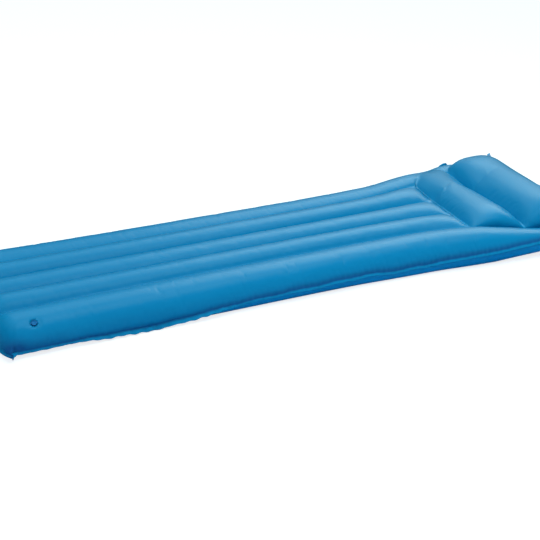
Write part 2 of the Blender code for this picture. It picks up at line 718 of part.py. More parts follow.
    def add_flap(self, stem):
        """Make the check flap that closes the inner end of the stem."""
        hinge_x, hinge_z = self.flap_hinge
        radius = STEM_RADIUS - FLAP_MARGIN
        bottom = self.flap_top - FLAP_THICKNESS
        profile = [(0.0, self.flap_top), (radius, self.flap_top), (radius, bottom), (0.0, bottom)]
        flap = turned_object(self.node("flap"), profile, self.soft, self.collection)
        root = box_object(self.node("flap_root"), (hinge_x, -STRAP_WIDTH / 2, bottom),
                          (-radius / 2, STRAP_WIDTH / 2, self.flap_top), self.cutters)
        add_boolean(flap, root, "UNION")
        self.hang(flap, (root,), stem, Vector((hinge_x, 0.0, hinge_z)))

    def hang(self, piece, tools, stem, hinge):
        """Carry a piece on the stem, with its origin moved to its hinge."""
        for item in (piece,) + tools:
            item.data.transform(Matrix.Translation(-hinge))
        piece.parent = stem
        piece.location = hinge
        for tool in tools:
            tool.parent = piece


def build_webs(top_rows, bottom_rows, material, collection):
    """Make the four webs between the tubes; air passes round their ends."""
    stations = sheet_stations()
    first = next(k for k, place in enumerate(stations) if place >= VALVE_PLACE)
    last_place = (PILLOW_SEAM, PILLOW_START - WEB_END_GAP)
    number = 0
    for side, band in ((-1, 0), (-1, 1), (1, 1), (1, 0)):
        number += 1
        last = max(k for k, place in enumerate(stations) if place <= last_place[band]) + 1
        points = web_points(top_rows, bottom_rows, band, side, first, last)
        sheet_object("tube_web_%d" % number, points, side > 0, material, collection)


def main():
    """Build the whole mattress."""
    clear_scene()
    collection = make_collection(COLLECTION_NAME)
    cutters = make_collection(CUTTER_COLLECTION_NAME)
    top_rows = sheet_points(True)
    bottom_rows = sheet_points(False)
    pillow_rows = pillow_points(top_rows)

    sheet_finish = make_material("sheet", SHEET_BLUE, 0.42)
    top = sheet_object("top_sheet", top_rows, True, sheet_finish, collection)
    sheet_object("bottom_sheet", bottom_rows, False, make_material("base", SHEET_BLUE, 0.45),
                 collection)
    pillow = sheet_object("pillow_sheet", pillow_rows, True,
                          make_material("pillow", PILLOW_BLUE, 0.42), collection)
    build_webs(top_rows, bottom_rows, make_material("web", WEB_BLUE, 0.50), collection)

    valve_finishes = (make_material("valve", VALVE_BLUE, 0.35),
                      make_material("membrane", MEMBRANE_BLUE, 0.45))
    pad_row = max(k for k, place in enumerate(sheet_stations()) if place <= VALVE_PLACE)
    body_seat = seat_matrix(facet_corners(top_rows, pad_row, VALVE_FACET), Vector((1, 0, 0)))
    Valve("body_valve", body_seat, top, collection, cutters, valve_finishes).build()
    head_row = 2 + NECK_TUBE_FACETS + PILLOW_VALVE_FACET
    head_column = PILLOW_END_FACETS + PILLOW_VALVE_COLUMN
    pillow_seat = seat_matrix(facet_corners(pillow_rows, head_row, head_column),
                              Vector((0, 1, 0)))
    Valve("pillow_valve", pillow_seat, pillow, collection, cutters, valve_finishes).build()


main()
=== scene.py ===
"""Inflatable beach mattress, dressed for the eye: five lengthwise air tubes and a raised pillow.

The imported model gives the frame. Each skin of soft vinyl is rebuilt here as a fine surface over
its plain solid, with the welds, puckers and creases that an inflated sheet has. X runs from the
foot end to the pillow, Y from the near side to the far one, and the floor is at Z = 0.
"""
import json
import logging
import math
from dataclasses import dataclass
from enum import Enum
from typing import Callable, Iterator, Sequence

import bmesh
import bpy
import numpy as np
from mathutils import Matrix, Vector

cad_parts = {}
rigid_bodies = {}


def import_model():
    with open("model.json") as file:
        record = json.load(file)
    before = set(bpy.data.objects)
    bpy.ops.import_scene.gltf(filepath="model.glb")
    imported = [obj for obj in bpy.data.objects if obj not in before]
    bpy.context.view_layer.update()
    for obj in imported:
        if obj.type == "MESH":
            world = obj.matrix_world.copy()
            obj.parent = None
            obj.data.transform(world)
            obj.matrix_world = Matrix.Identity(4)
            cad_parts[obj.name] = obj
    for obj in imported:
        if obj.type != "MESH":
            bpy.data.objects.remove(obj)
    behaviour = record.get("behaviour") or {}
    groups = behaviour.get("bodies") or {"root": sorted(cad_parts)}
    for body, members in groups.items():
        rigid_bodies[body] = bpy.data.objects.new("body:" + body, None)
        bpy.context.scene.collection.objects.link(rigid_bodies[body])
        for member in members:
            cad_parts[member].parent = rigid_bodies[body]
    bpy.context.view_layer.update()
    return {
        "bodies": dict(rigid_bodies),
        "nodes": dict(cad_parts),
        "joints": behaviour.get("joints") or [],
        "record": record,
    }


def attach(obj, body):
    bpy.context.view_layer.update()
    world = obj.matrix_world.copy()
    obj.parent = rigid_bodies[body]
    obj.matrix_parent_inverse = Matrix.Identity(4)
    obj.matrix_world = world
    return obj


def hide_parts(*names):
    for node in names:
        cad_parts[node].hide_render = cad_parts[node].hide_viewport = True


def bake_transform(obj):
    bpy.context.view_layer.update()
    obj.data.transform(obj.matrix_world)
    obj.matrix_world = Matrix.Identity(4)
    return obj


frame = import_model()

LOG = logging.getLogger("beach_mattress")
# Share of weld over which a point keeps its place while a skin is inflated, and the distances
# before the pillow's edge between which the upper skin's rows come to rest
WELDED = 0.4
UNDER_PILLOW = (0.035, 0.012)

Table = Sequence[tuple[float, ...]]
Pair = tuple[float, float]
Triple = tuple[float, float, float]


class Layer(Enum):
    """The two skins of the body."""

    UPPER = 1
    LOWER = -1


class Side(Enum):
    """The two long sides of the mattress."""

    NEAR = -1
    FAR = 1


def read_curve(table: Table, column: int, at: float) -> float:
    """Read one column of a table at a place, on a smooth curve through its rows.

    Args:
        table: Rows of a place and its values, by rising place.
        column: The column to read.
        at: The place; it is held within the table's ends.

    Returns:
        The value at that place.
    """
    places = [row[0] for row in table]
    values = [row[column] for row in table]
    last = len(table) - 1
    at = min(max(at, places[0]), places[last])
    index = max(k for k in range(last) if places[k] <= at)
    span = places[index + 1] - places[index]
    step = (at - places[index]) / span

    def slope(k: int) -> float:
        """Return the curve's slope at a row."""
        low, high = max(k - 1, 0), min(k + 1, last)
        return (values[high] - values[low]) / (places[high] - places[low])

    rise = values[index + 1] - values[index]
    start, end = slope(index) * span, slope(index + 1) * span
    curve = (start + end - 2 * rise) * step ** 3 + (3 * rise - 2 * start - end) * step ** 2
    return curve + start * step + values[index]


def ease(value: np.ndarray | float, low: float, high: float) -> np.ndarray | float:
    """Return 0 below low, 1 above high and a soft step between them."""
    share = np.clip((value - low) / (high - low), 0.0, 1.0)
    return share * share * (3 - 2 * share)


def arch(ends: Pair, heights: Pair, crest: float, limit: float, steps: int) -> list[Pair]:
    """Return an arched line between two welds.

    Args:
        ends: Places of the two welds.
        heights: Heights of the two welds.
        crest: Height of the arch.
        limit: Half angle of the arch, in radians.
        steps: Number of steps along it.

    Returns:
        Places and heights along the line.
    """
    peak = crest - (heights[0] + heights[1]) / 2
    points = []
    for k in range(steps + 1):
        angle = limit * (2 * k / steps - 1)
        across = (1 + math.sin(angle) / math.sin(limit)) / 2
        rise = (math.cos(angle) - math.cos(limit)) / (1 - math.cos(limit))
        base = heights[0] + (heights[1] - heights[0]) * across
        points.append((ends[0] + (ends[1] - ends[0]) * across, base + peak * rise))
    return points


def add_object(name: str, data: bpy.types.ID) -> bpy.types.Object:
    """Make an object of a mesh, lamp or camera and put it in the scene."""
    thing = bpy.data.objects.new(name, data)
    bpy.context.scene.collection.objects.link(thing)
    return thing


class Ripple:
    """A fixed, gently irregular wave along a line."""

    def __init__(self, seed: int, wavelength: float, reach: float) -> None:
        """Draw the wave's knots.

        Args:
            seed: Seed of the draw, so that each run gives the same wave.
            wavelength: Typical distance between two crests, in metres.
            reach: Length of the line, in metres.
        """
        draw = np.random.default_rng(seed)
        count = int(reach / (wavelength / 2)) + 6
        self.step = wavelength / 2
        self.knots = draw.uniform(-1.0, 1.0, count)
        self.knots[1::2] = -np.abs(self.knots[1::2])
        self.knots[::2] = np.abs(self.knots[::2])

    def at(self, along: np.ndarray | float) -> np.ndarray | float:
        """Return the wave's height, from -1 to 1, at places along the line."""
        place = np.asarray(along, float) / self.step + 2.0
        index = np.clip(np.floor(place).astype(int), 0, len(self.knots) - 2)
        share = ease(place - index, 0.0, 1.0)
        return self.knots[index] * (1 - share) + self.knots[index + 1] * share


class NodeGraph:
    """The shader nodes of one material or world."""

    def __init__(self, owner: bpy.types.Material | bpy.types.World) -> None:
        """Turn the owner's nodes on and keep them."""
        owner.use_nodes = True
        self.nodes, self.links = owner.node_tree.nodes, owner.node_tree.links

    def feed(self, node: bpy.types.Node, inputs: dict[str | int, object]) -> None:
        """Set a node's inputs.

        Args:
            node: The node.
            inputs: A value, or the output of another node, for each input.
        """
        for key, value in inputs.items():
            if isinstance(value, bpy.types.NodeSocket):
                self.links.new(value, node.inputs[key])
            else:
                node.inputs[key].default_value = value

    def add(self, kind: str, output: str, inputs: dict[str | int, object] | None = None,
            **settings: str) -> bpy.types.NodeSocket:
        """Add a node.

        Args:
            kind: Type of the node.
            output: Name of the output that is used.
            inputs: Its inputs, as for feed.
            **settings: Its other settings.

        Returns:
            The output that is used.
        """
        node = self.nodes.new(kind)
        for name, value in settings.items():
            setattr(node, name, value)
        self.feed(node, inputs or {})
        return node.outputs[output]

    def mix(self, share: bpy.types.NodeSocket, first: Triple | bpy.types.NodeSocket,
            second: Triple) -> bpy.types.NodeSocket:
        """Return the mix of two colours by a share, 0 for the first and 1 for the second."""
        if isinstance(first, tuple):
            first = (*first, 1.0)
        return self.add("ShaderNodeMix", "Result",
                        {"Factor": share, "A": first, "B": (*second, 1.0)}, data_type="RGBA")


@dataclass(frozen=True)
class VinylFinish:
    """Soft vinyl film or moulding with a satin face."""

    # Noises, as scale and detail: drift of colour, scuffs and grain
    NOISES = ((3.5, 2.0), (26.0, 4.0), (1500.0, 2.0))
    SCUFF = 0.04
    GRAIN_STRENGTH = 0.35
    REFRACTION = 1.52

    name: str
    color: Triple
    # Tint of the welds; where it is lighter than the sheet, as on the pillow and the webs, it is a
    # painted highlight along the welds
    deep_color: Triple
    weld_color: Triple
    # Painted shade: a dark violet laid where the skin creases beside the rims and round the foot
    # corners
    fold_color: Triple = (0.010, 0.088, 0.285)
    roughness: float = 0.32
    grain: float = 0.00006
    specular: float = 0.30

    def build(self) -> bpy.types.Material:
        """Make the material: slight drift of colour, welds, deep folds, fine grain and scuffs.

        Returns:
            The new material.
        """
        material = bpy.data.materials.new(self.name)
        graph = NodeGraph(material)
        # Make the material: slight drift of colour, welds with a painted highlight where their
        # tint is lighter, painted shade in the creases by the rims and foot corners, fine grain
        # and scuffs.
        place = graph.add("ShaderNodeTexCoord", "Object")
        drift, scuff, grain = [
            graph.add("ShaderNodeTexNoise", "Fac",
                      {"Scale": scale, "Detail": detail, "Vector": place})
            for scale, detail in self.NOISES]
        color = graph.mix(drift, self.color, self.deep_color)
        # Mix in the welds' tint with its painted highlight, then the painted shade of the creases
        for name, tint in (("weld", self.weld_color), ("fold", self.fold_color)):
            share = graph.add("ShaderNodeAttribute", "Fac", attribute_name=name)
            color = graph.mix(share, color, tint)
        roughness = graph.add("ShaderNodeMapRange", "Result", {
            "To Min": self.roughness - self.SCUFF, "To Max": self.roughness + self.SCUFF,
            "Value": scuff})
        normal = graph.add("ShaderNodeBump", "Normal", {
            "Strength": self.GRAIN_STRENGTH, "Distance": self.grain, "Height": grain})
        graph.feed(graph.nodes["Principled BSDF"], {
            "Metallic": 0.0, "IOR": self.REFRACTION, "Specular IOR Level": self.specular,
            "Base Color": color, "Roughness": roughness, "Normal": normal})
        return material


@dataclass(frozen=True)
class Finishes:
    """Every finish of the mattress."""

    skin: VinylFinish = VinylFinish(
        "skin_vinyl", (0.0005, 0.255, 0.510), (0.0005, 0.240, 0.490), (0.001, 0.262, 0.520))
    # The lower skin is lighter and bluer than the upper one: painted light on the underside,
    # standing in for light thrown up from the floor
    base: VinylFinish = VinylFinish(
        "base_vinyl", (0.0005, 0.262, 0.590), (0.0005, 0.248, 0.565), (0.001, 0.250, 0.510))
    # The pillow's welds are tinted lighter than its sheet: a painted highlight along the pillow's
    # edges and crease
    pillow: VinylFinish = VinylFinish(
        "pillow_vinyl", (0.0005, 0.258, 0.515), (0.0005, 0.243, 0.495), (0.004, 0.300, 0.570))
    web: VinylFinish = VinylFinish(
        "web_vinyl", (0.010, 0.260, 0.540), (0.006, 0.240, 0.510), (0.015, 0.300, 0.580))
    # The valve's moulding is darker than the sheets so that it shows as a dark spot: painted
    # shade, standing in for the shade in its recess
    moulding: VinylFinish = VinylFinish(
        "valve_vinyl", (0.001, 0.165, 0.420), (0.001, 0.150, 0.400), (0.004, 0.190, 0.450),
        roughness=0.32, grain=0.00002)
    membrane: VinylFinish = VinylFinish(
        "membrane_vinyl", (0.002, 0.200, 0.460), (0.001, 0.185, 0.440), (0.004, 0.210, 0.480),
        roughness=0.38, grain=0.00002)


@dataclass(frozen=True)
class BodySizes:
    """Sizes of the inflated body, in metres. A place is measured from the foot edge."""

    length: float = 1.820
    half_length: float = 0.9255
    foot_corner_setback: float = 0.030
    head_corner_reach: float = 0.031
    rim_width: float = 0.010
    film: float = 0.0004
    seam_gap: float = 0.0003
    weld_band: float = 0.005
    floor_strip: float = 0.036
    side_offset: float = 0.184
    side_radius: float = 0.056
    side_height: float = 0.112
    rim_height: float = 0.091
    outer_seam: float = 0.1365
    centre_height: float = 0.117
    second_height: float = 0.120
    groove_height: float = 0.086
    lower_groove: float = 0.024
    crest_angle: float = math.radians(63.0)
    foot_dome: float = 0.050
    head_dome: float = 0.086
    foot_flat: float = 0.254
    head_flat: float = 0.322
    far_rise: float = 0.034
    pillow_start: float = 1.457
    pillow_seam: float = 1.612
    pillow_margin: float = 0.004
    valve_place: float = 0.104

    @property
    def head_weld(self) -> float:
        """Place of the weld at the head end, on the middle line."""
        return self.length - self.rim_width


# Side tube: place, centre, radius, crest, seam and rim height, as shares of their own sizes
SIDE_TUBE = (
    (0.000, 1.043, 1.000, 1.000, 1.040, 0.297),
    (0.066, 1.038, 1.000, 1.000, 1.035, 0.297),
    (0.154, 1.016, 1.000, 1.000, 1.018, 0.330),
    (0.374, 1.000, 1.000, 1.000, 1.000, 0.451),
    (0.594, 1.005, 1.000, 1.000, 1.011, 0.538),
    (0.703, 1.045, 0.995, 1.005, 1.070, 0.560),
    (0.793, 1.175, 0.965, 0.998, 1.253, 0.600),
    (0.841, 1.245, 0.860, 0.898, 1.355, 0.637),
    (0.901, 1.340, 0.690, 0.765, 1.545, 0.714),
    (0.951, 1.440, 0.510, 0.730, 1.745, 0.846),
    (1.000, 1.510, 0.380, 0.857, 1.890, 1.000),
)
# Underside of the side tube off the floor, as a share of the rim's height
SIDE_LIFT = (
    (0.000, 0.00), (0.820, 0.00), (0.841, 0.03), (0.874, 0.09),
    (0.901, 0.15), (0.951, 0.32), (1.000, 0.56),
)
# Rise of the far side under and beside the pillow, as a share of the greatest rise
FAR_RISE = (
    (0.000, 0.00), (0.660, 0.00), (0.720, 0.02), (0.780, 0.15), (0.815, 0.30),
    (0.850, 0.50), (0.880, 0.90), (0.905, 0.95), (0.940, 0.40), (1.000, 0.06),
)
# Bulge left on the three middle tubes as they reach the pillow
TUBE_FADE = ((0.00, 1.00), (0.89, 1.00), (0.955, 0.91), (0.983, 0.58), (1.00, 0.00))
# How far the pillow's rows lean towards the head on the far side: place and length at a
# distance from the middle line, all in metres
PILLOW_LEAN = ((1.450, 0.004), (1.530, -0.005), (1.612, -0.012), (1.700, -0.006), (1.810, 0.000))
PILLOW_LEAN_WIDTH = 0.2
# Near rim by place as a share: height off its plain line and extra width in metres, droop in
# degrees, and how far the lower flank bellies outwards in metres
NEAR_RIM = (
    (0.000, 0.000, 0.000, 40.0, 0.000), (0.020, 0.000, 0.000, 86.0, 0.000),
    (0.080, -0.001, 0.000, 98.0, 0.000), (0.110, -0.003, 0.000, 94.0, 0.000),
    (0.135, -0.006, 0.001, 76.0, 0.001), (0.168, -0.010, 0.003, 64.0, 0.002),
    (0.216, -0.015, 0.005, 66.0, 0.004), (0.265, -0.015, 0.005, 62.0, 0.006),
    (0.313, -0.010, 0.003, 60.0, 0.006), (0.345, -0.006, 0.001, 80.0, 0.006),
    (0.380, -0.004, 0.000, 98.0, 0.006), (0.420, -0.003, 0.000, 96.0, 0.006),
    (0.455, -0.003, 0.000, 84.0, 0.006), (0.500, -0.004, 0.000, 78.0, 0.006),
    (0.570, -0.001, 0.000, 70.0, 0.007), (0.600, -0.004, 0.000, 80.0, 0.009),
    (0.640, -0.010, 0.000, 98.0, 0.012), (0.675, -0.008, 0.000, 92.0, 0.013),
    (0.710, -0.006, 0.000, 74.0, 0.011), (0.760, -0.002, 0.000, 72.0, 0.006),
    (0.850, 0.001, 0.000, 70.0, -0.003), (0.920, 0.001, 0.000, 60.0, -0.003),
    (1.000, 0.000, 0.000, 24.0, 0.000),
)
# Far rim by place as a share: extra width in metres and droop in degrees; it stands up where
# the pillow's crease pulls on it
FAR_RIM = (
    (0.000, 0.000, 50.0), (0.300, 0.000, 30.0), (0.600, 0.000, 55.0), (0.860, 0.000, 24.0),
    (0.882, 0.000, 0.0), (0.892, 0.005, -66.0), (0.901, 0.007, -78.0), (0.909, 0.000, 0.0),
    (0.930, 0.000, 24.0), (1.000, 0.000, 24.0),
)


@dataclass
class Surface:
    """A grid of points, with the share of weld and of painted shade at each."""

    points: np.ndarray
    weld: np.ndarray
    fold: np.ndarray

    def normals(self) -> np.ndarray:
        """Return each point's direction off the surface, upwards where it lies flat."""
        normal = np.cross(np.gradient(self.points, axis=0), np.gradient(self.points, axis=1))
        return normal / np.maximum(np.linalg.norm(normal, axis=2, keepdims=True), 1e-12)

    def reach(self, lines: Sequence[int], axis: int) -> np.ndarray:
        """Return each point's distance over the surface from the nearest of some grid lines.

        Args:
            lines: Numbers of the lines, negative ones counted from the end.
            axis: 0 for rows and 1 for columns.

        Returns:
            The distances, of the grid's shape.
        """
        points = np.moveaxis(self.points, axis, 0)
        steps = np.linalg.norm(np.diff(points, axis=0), axis=2)
        run = np.concatenate([np.zeros((1, steps.shape[1])), np.cumsum(steps, axis=0)])
        nearest = np.min([np.abs(run - run[line]) for line in lines], axis=0)
        return np.moveaxis(nearest, 0, axis)

    def push(self, height: np.ndarray) -> None:
        """Move every point off the surface by its own height."""
        self.points += self.normals() * height[..., None]


class BodyForm:
    """The inflated body as a pair of surfaces, read at any place along its length."""

    SIDE_STEPS = 24
    INNER_STEPS = 12
    BAND_STEPS = 2
    RIM_STEPS = 3
    FLANK_STEPS = 12
    STRIP_STEPS = 2
    LOWER_STEPS = 6
    DOME_STEPS = 14
    # Grid lines of the rim's weld
    RIM_LINES = {Side.NEAR: RIM_STEPS, Side.FAR: -1 - RIM_STEPS}
    RUN_STEPS, APPROACH_STEPS, UNDER_STEPS = 380, 26, 72
    # Length before the pillow's edge over which the rows stand closer
    APPROACH = 0.06
    # Rows in an end's rim: this far inside its edge, and this share of its width in
    EDGE, RIM_MIDDLE = 0.0012, 0.55
    # How far the tubes swell out over the foot's weld, and the droop of the rim there
    END_SWELL = {Layer.UPPER: 0.015, Layer.LOWER: 0.004}
    END_DROOP = math.radians(64.0)
    # How sharply the foot's and the head's edge turn into their corners
    FOOT_POWER, HEAD_POWER = 7, 3
    # Side rim: sway and wave of its height, swing of its droop, what keeps it off the flank,
    # and the distances from the ends between which the three grow
    SWAY, WAVE = 0.0021, 0.0011
    SWING, CLEARANCE = math.radians(8.0), math.radians(7.0)
    RIM_ENDS = (0.02, 0.12)
    # Steps along the rim by which its swing and its width lag behind its height
    SWING_LAG, FRILL_LAG = 0.05, 0.04
    # Cosines of the steepest angles at which a side tube may meet its rim
    RIM_COSINES = (-0.98, 0.999)
    # Length before the pillow over which the inner grooves of the underside close
    GROOVE_CLOSES = 0.05
    # Side rim: its rows as shares of its width, and how much that width varies
    FLAP_SHARES = (1.0, 0.88, 0.45)
    FRILL = 0.14
    # Side rim's edge: wave and flutter, and the share of them that is left at the weld
    EDGE_WAVE, EDGE_FLUTTER, WELD_SHARE = 0.0011, 0.0010, 0.35
    # What is left of them at the end edges, and the distance over which they grow from there
    EDGE_LEAST, EDGE_ENDS = 0.3, 0.03
    # Strength of the smallest waves along a side: its mean and how far it swings
    PATCH_MEAN, PATCH_SWING = 0.55, 0.45
    # Painted shade beside the rim, standing in for the shade of its crease: depth and reach, then
    # both at the near foot and where that fades
    RIM_FOLD = {Layer.UPPER: 0.85, Layer.LOWER: 0.35}
    RIM_REACH = 0.011
    FOOT_FOLD, FOOT_FOLD_REACH, FOOT_FOLD_ENDS = 0.55, 0.026, (0.12, 0.24)
    # Puckers beside the rim and beside the welds between tubes: height, slant and reach
    RIM_PUCKER, RIM_SLANT = 0.0011, 0.25
    GROOVE_PUCKER = {Layer.UPPER: 0.0006, Layer.LOWER: 0.0003}
    GROOVE_SLANT, GROOVE_REACH = 0.2, 0.008
    # Distances from the ends between which the puckers grow
    PUCKER_ENDS = (0.02, 0.07)
    # Share of weld shown between the tubes, and the share from which a point is held
    GROOVE_WELD, HELD_WELD = 0.5, 0.9
    # Distance from the middle line at which the waves across the body start
    WAVE_START = 0.5
    # Gathers at the foot's weld and the head's: height and reach, and their slant
    GATHERS, GATHER_SLANT = ((0.0026, 0.026), (0.0013, 0.024)), 0.3
    # Fan of folds round a foot corner: turns, start, height, reach and the distances between
    # which it grows; then the depth of the painted shade round the corner, how far that reaches
    # and the deepest allowed
    FAN_TURNS, FAN_START, FAN_HEIGHT, FAN_REACH = 9.0, 0.8, 0.0034, 0.026
    FAN_GROWS = (0.003, 0.014)
    FAN_FOLD, FAN_FOLD_REACH, DEEPEST_FOLD = 0.85, 0.034, 0.9
    # Lift of the far corner at the head, and the distance over which it fades
    TIP_LIFT, TIP_REACH = 0.010, 0.044

    def __init__(self, sizes: BodySizes) -> None:
        """Keep the sizes and draw the ripples.

        Args:
            sizes: Sizes of the body.
        """
        self.sizes = sizes
        reach = sizes.length + 0.1
        self.sway, self.wave, self.flutter, self.pucker_wave, self.patch = [
            {side: Ripple(seed + side.value, wavelength, reach) for side in Side}
            for seed, wavelength in ((11, 0.120), (31, 0.034), (51, 0.013), (61, 0.019),
                                     (71, 0.210))]
        self.gather = [Ripple(91 + end, 0.017, 1.0) for end in (0, 1)]
        self.groove_pucker = [Ripple(111 + k, 0.016, reach) for k in range(4)]

    def stations(self) -> list[float]:
        """Return the rows along the body, closer together where the form turns fast."""
        s = self.sizes
        rim = [0.0, self.EDGE, s.rim_width * self.RIM_MIDDLE, s.rim_width]
        turn = [math.pi / 2 * k / self.DOME_STEPS for k in range(1, self.DOME_STEPS + 1)]
        foot = [s.rim_width + s.foot_dome * (1 - math.cos(a)) for a in turn]
        head = [s.head_weld - s.head_dome * (1 - math.cos(a)) for a in reversed(turn)]
        base = s.pillow_start - s.pillow_margin
        long_run = list(np.linspace(foot[-1], base - self.APPROACH, self.RUN_STEPS)[1:])
        before = list(np.linspace(base - self.APPROACH, base, self.APPROACH_STEPS)[1:])
        under = list(np.linspace(base, head[0], self.UNDER_STEPS)[1:-1])
        edge = [s.head_weld, s.length - s.rim_width * self.RIM_MIDDLE, s.length - self.EDGE,
                s.length]
        return rim + foot + long_run + before + under + head + edge

    def within(self, station: float) -> float:
        """Return the place between the end welds that is nearest to a station."""
        return min(max(station, self.sizes.rim_width), self.sizes.head_weld)

    def fullness(self, place: float) -> float:
        """Return 0 at the end welds and 1 where the tubes are full."""
        s = self.sizes
        from_foot = (place - s.rim_width) / s.foot_dome
        from_head = (s.head_weld - place) / s.head_dome
        nearest = min(max(min(from_foot, from_head), 0.0), 1.0)
        return math.sqrt(1 - (1 - nearest) ** 2)

    def side_tube(self, place: float) -> tuple[float, float, float, float, float, float]:
        """Return the side tube's centre, radius, middle height, seam, rim height and lift."""
        s = self.sizes
        share = place / s.length
        full_sizes = (s.side_offset, s.side_radius, s.side_height, s.outer_seam, s.rim_height)
        centre, radius, crest, seam, rim = [
            size * read_curve(SIDE_TUBE, column, share)
            for column, size in enumerate(full_sizes, start=1)]
        lift = s.rim_height * max(read_curve(SIDE_LIFT, 1, share), 0.0)
        return centre, radius, crest - radius, seam, rim, lift

    def rim_line(self, place: float, side: Side) -> tuple[float, float, float, float]:
        """Return how the rim lies: height off its plain line, extra width, droop and belly."""
        s = self.sizes
        share = place / s.length
        ends = float(ease(min(place, s.length - place), *self.RIM_ENDS))
        shift = (self.SWAY * float(self.sway[side].at(place))
                 + self.WAVE * float(self.wave[side].at(place))) * ends
        droop = self.SWING * float(self.sway[side].at(place + self.SWING_LAG)) * ends
        if side is Side.FAR:
            droop += math.radians(read_curve(FAR_RIM, 2, share))
            return shift, read_curve(FAR_RIM, 1, share), droop, 0.0
        shift += read_curve(NEAR_RIM, 1, share)
        droop += math.radians(read_curve(NEAR_RIM, 3, share))
        return shift, read_curve(NEAR_RIM, 2, share), droop, read_curve(NEAR_RIM, 4, share)

    def hang_limit(self, place: float, side: Side) -> float:
        """Return the steepest droop at which the rim still clears the lower flank."""
        (start_across, start_height), _, (across, height) = self.lower_half(place, side)[:3]
        return math.atan2(start_height - height, across - start_across) - self.CLEARANCE

    def strip_angle(self) -> float:
        """Return the half angle of the side tube that rests on the floor."""
        return math.asin(self.sizes.floor_strip / 2 / self.sizes.side_radius)

    def outline(self, place: float, angle: float) -> Pair:
        """Return a side tube's outline point at an angle from its crest, outwards."""
        centre, radius, middle, _, _, lift = self.side_tube(place)
        depth = radius
        if math.cos(angle) < 0:
            depth = (middle - lift) / math.cos(self.strip_angle())
        return centre + radius * math.sin(angle), middle + depth * math.cos(angle)

    def rim_angle(self, place: float, side: Side) -> float:
        """Return the angle from the crest at which the side tube meets its rim."""
        _, radius, middle, _, rim, lift = self.side_tube(place)
        rim += self.rim_line(place, side)[0] * self.fullness(place)
        depth = radius if rim > middle else (middle - lift) / math.cos(self.strip_angle())
        least, most = self.RIM_COSINES
        return math.acos(min(max((rim - middle) / depth, least), most))

    def seam_angle(self, place: float) -> float:
        """Return the angle from the crest at which the side tube meets the next weld."""
        centre, radius, _, seam, _, _ = self.side_tube(place)
        return math.asin((centre - seam - self.sizes.weld_band / 2) / radius)

    def pillow_floor(self, place: float) -> float:
        """Return the height of the skin under the pillow."""
        return self.outline(place, -self.seam_angle(place))[1]

    def bulge(self, ends: Pair, heights: Pair, crest: float) -> list[Pair]:
        """Return an arched tube top between two welds."""
        return arch(ends, heights, crest, self.sizes.crest_angle, self.INNER_STEPS)

    def upper_half(self, place: float, side: Side) -> list[Pair]:
        """Return the upper outline of one half, from the rim's weld to the middle line."""
        s = self.sizes
        start, end = self.rim_angle(place, side), -self.seam_angle(place)
        outline = [self.outline(place, start + (end - start) * k / self.SIDE_STEPS)
                   for k in range(self.SIDE_STEPS + 1)]
        seam = self.side_tube(place)[3]
        half_band = s.weld_band / 2
        level = self.pillow_floor(place)
        if place >= s.pillow_start - s.pillow_margin:
            groove = second = centre = level
        else:
            run = s.pillow_start - s.pillow_margin - s.valve_place
            left = read_curve(TUBE_FADE, 1, (place - s.valve_place) / run)
            level = self.pillow_floor(s.pillow_start)
            groove, second, centre = [
                height * left + level * (1 - left)
                for height in (s.groove_height, s.second_height, s.centre_height)]
        outer = self.bulge((seam - half_band, seam / 3 + half_band), (outline[-1][1], groove),
                           second)
        inner = self.bulge((seam / 3 - half_band, half_band - seam / 3), (groove, groove), centre)
        outline += self.band(outline[-1], outer[0]) + outer
        outline += self.band(outer[-1], inner[0]) + inner[:self.INNER_STEPS // 2 + 1]
        return outline

    def band(self, start: Pair, end: Pair) -> list[Pair]:
        """Return the points inside a weld band, without its two edges."""
        steps = self.BAND_STEPS
        return [tuple(a + (b - a) * k / steps for a, b in zip(start, end))
                for k in range(1, steps)]

    def lower_half(self, place: float, side: Side) -> list[Pair]:
        """Return the lower outline of one half, from the rim's weld to the middle line."""
        s = self.sizes
        centre, radius, _, seam, _, lift = self.side_tube(place)
        reach = s.floor_strip / 2 * radius / s.side_radius
        half_band = s.weld_band / 2
        start, end = self.rim_angle(place, side), math.pi - self.strip_angle()
        belly = self.rim_line(place, side)[3]
        outline = []
        for k in range(self.FLANK_STEPS):
            across, height = self.outline(place, start + (end - start) * k / self.FLANK_STEPS)
            outline.append((across + belly * math.sin(math.pi / 2 * k / self.FLANK_STEPS), height))
        steps = self.STRIP_STEPS
        outline += [(centre + reach + belly * (1 - k / steps) - 2 * reach * k / steps, lift)
                    for k in range(steps + 1)]
        held = read_curve(SIDE_LIFT, 1, place / s.length)
        groove = s.lower_groove if place <= s.pillow_seam else s.lower_groove * (1 - held) / 2
        groove = max(groove, lift)
        fade = ease(place, s.pillow_start - self.GROOVE_CLOSES, s.pillow_start)
        inner_groove = s.lower_groove * (1 - float(fade))
        quarter = [math.pi / 2 * k / self.LOWER_STEPS for k in range(self.LOWER_STEPS + 1)]
        flank = centre - reach - (seam + half_band)
        outline += [(centre - reach - flank * math.sin(t),
                     lift + (groove - lift) * (1 - math.cos(t))) for t in quarter[1:]]
        outline += self.band(outline[-1], (seam - half_band, groove))
        inner_flank = (seam * 2 / 3 - s.weld_band - s.floor_strip) / 2

        def fall(start: float, run: float, height: float, turns: list[float]) -> list[Pair]:
            """Return a quarter round from a weld down to the floor, or back up."""
            return [(start + run * (1 - math.cos(t)), height * (1 - math.sin(t))) for t in turns]

        outline += fall(seam - half_band, -inner_flank, groove, quarter)
        outline += fall(seam / 3 + half_band, inner_flank, inner_groove, quarter[::-1])
        outline += self.band(outline[-1], (seam / 3 - half_band, inner_groove))
        outline += fall(seam / 3 - half_band, -inner_flank, inner_groove, quarter)
        return outline + [(0.0, 0.0)]

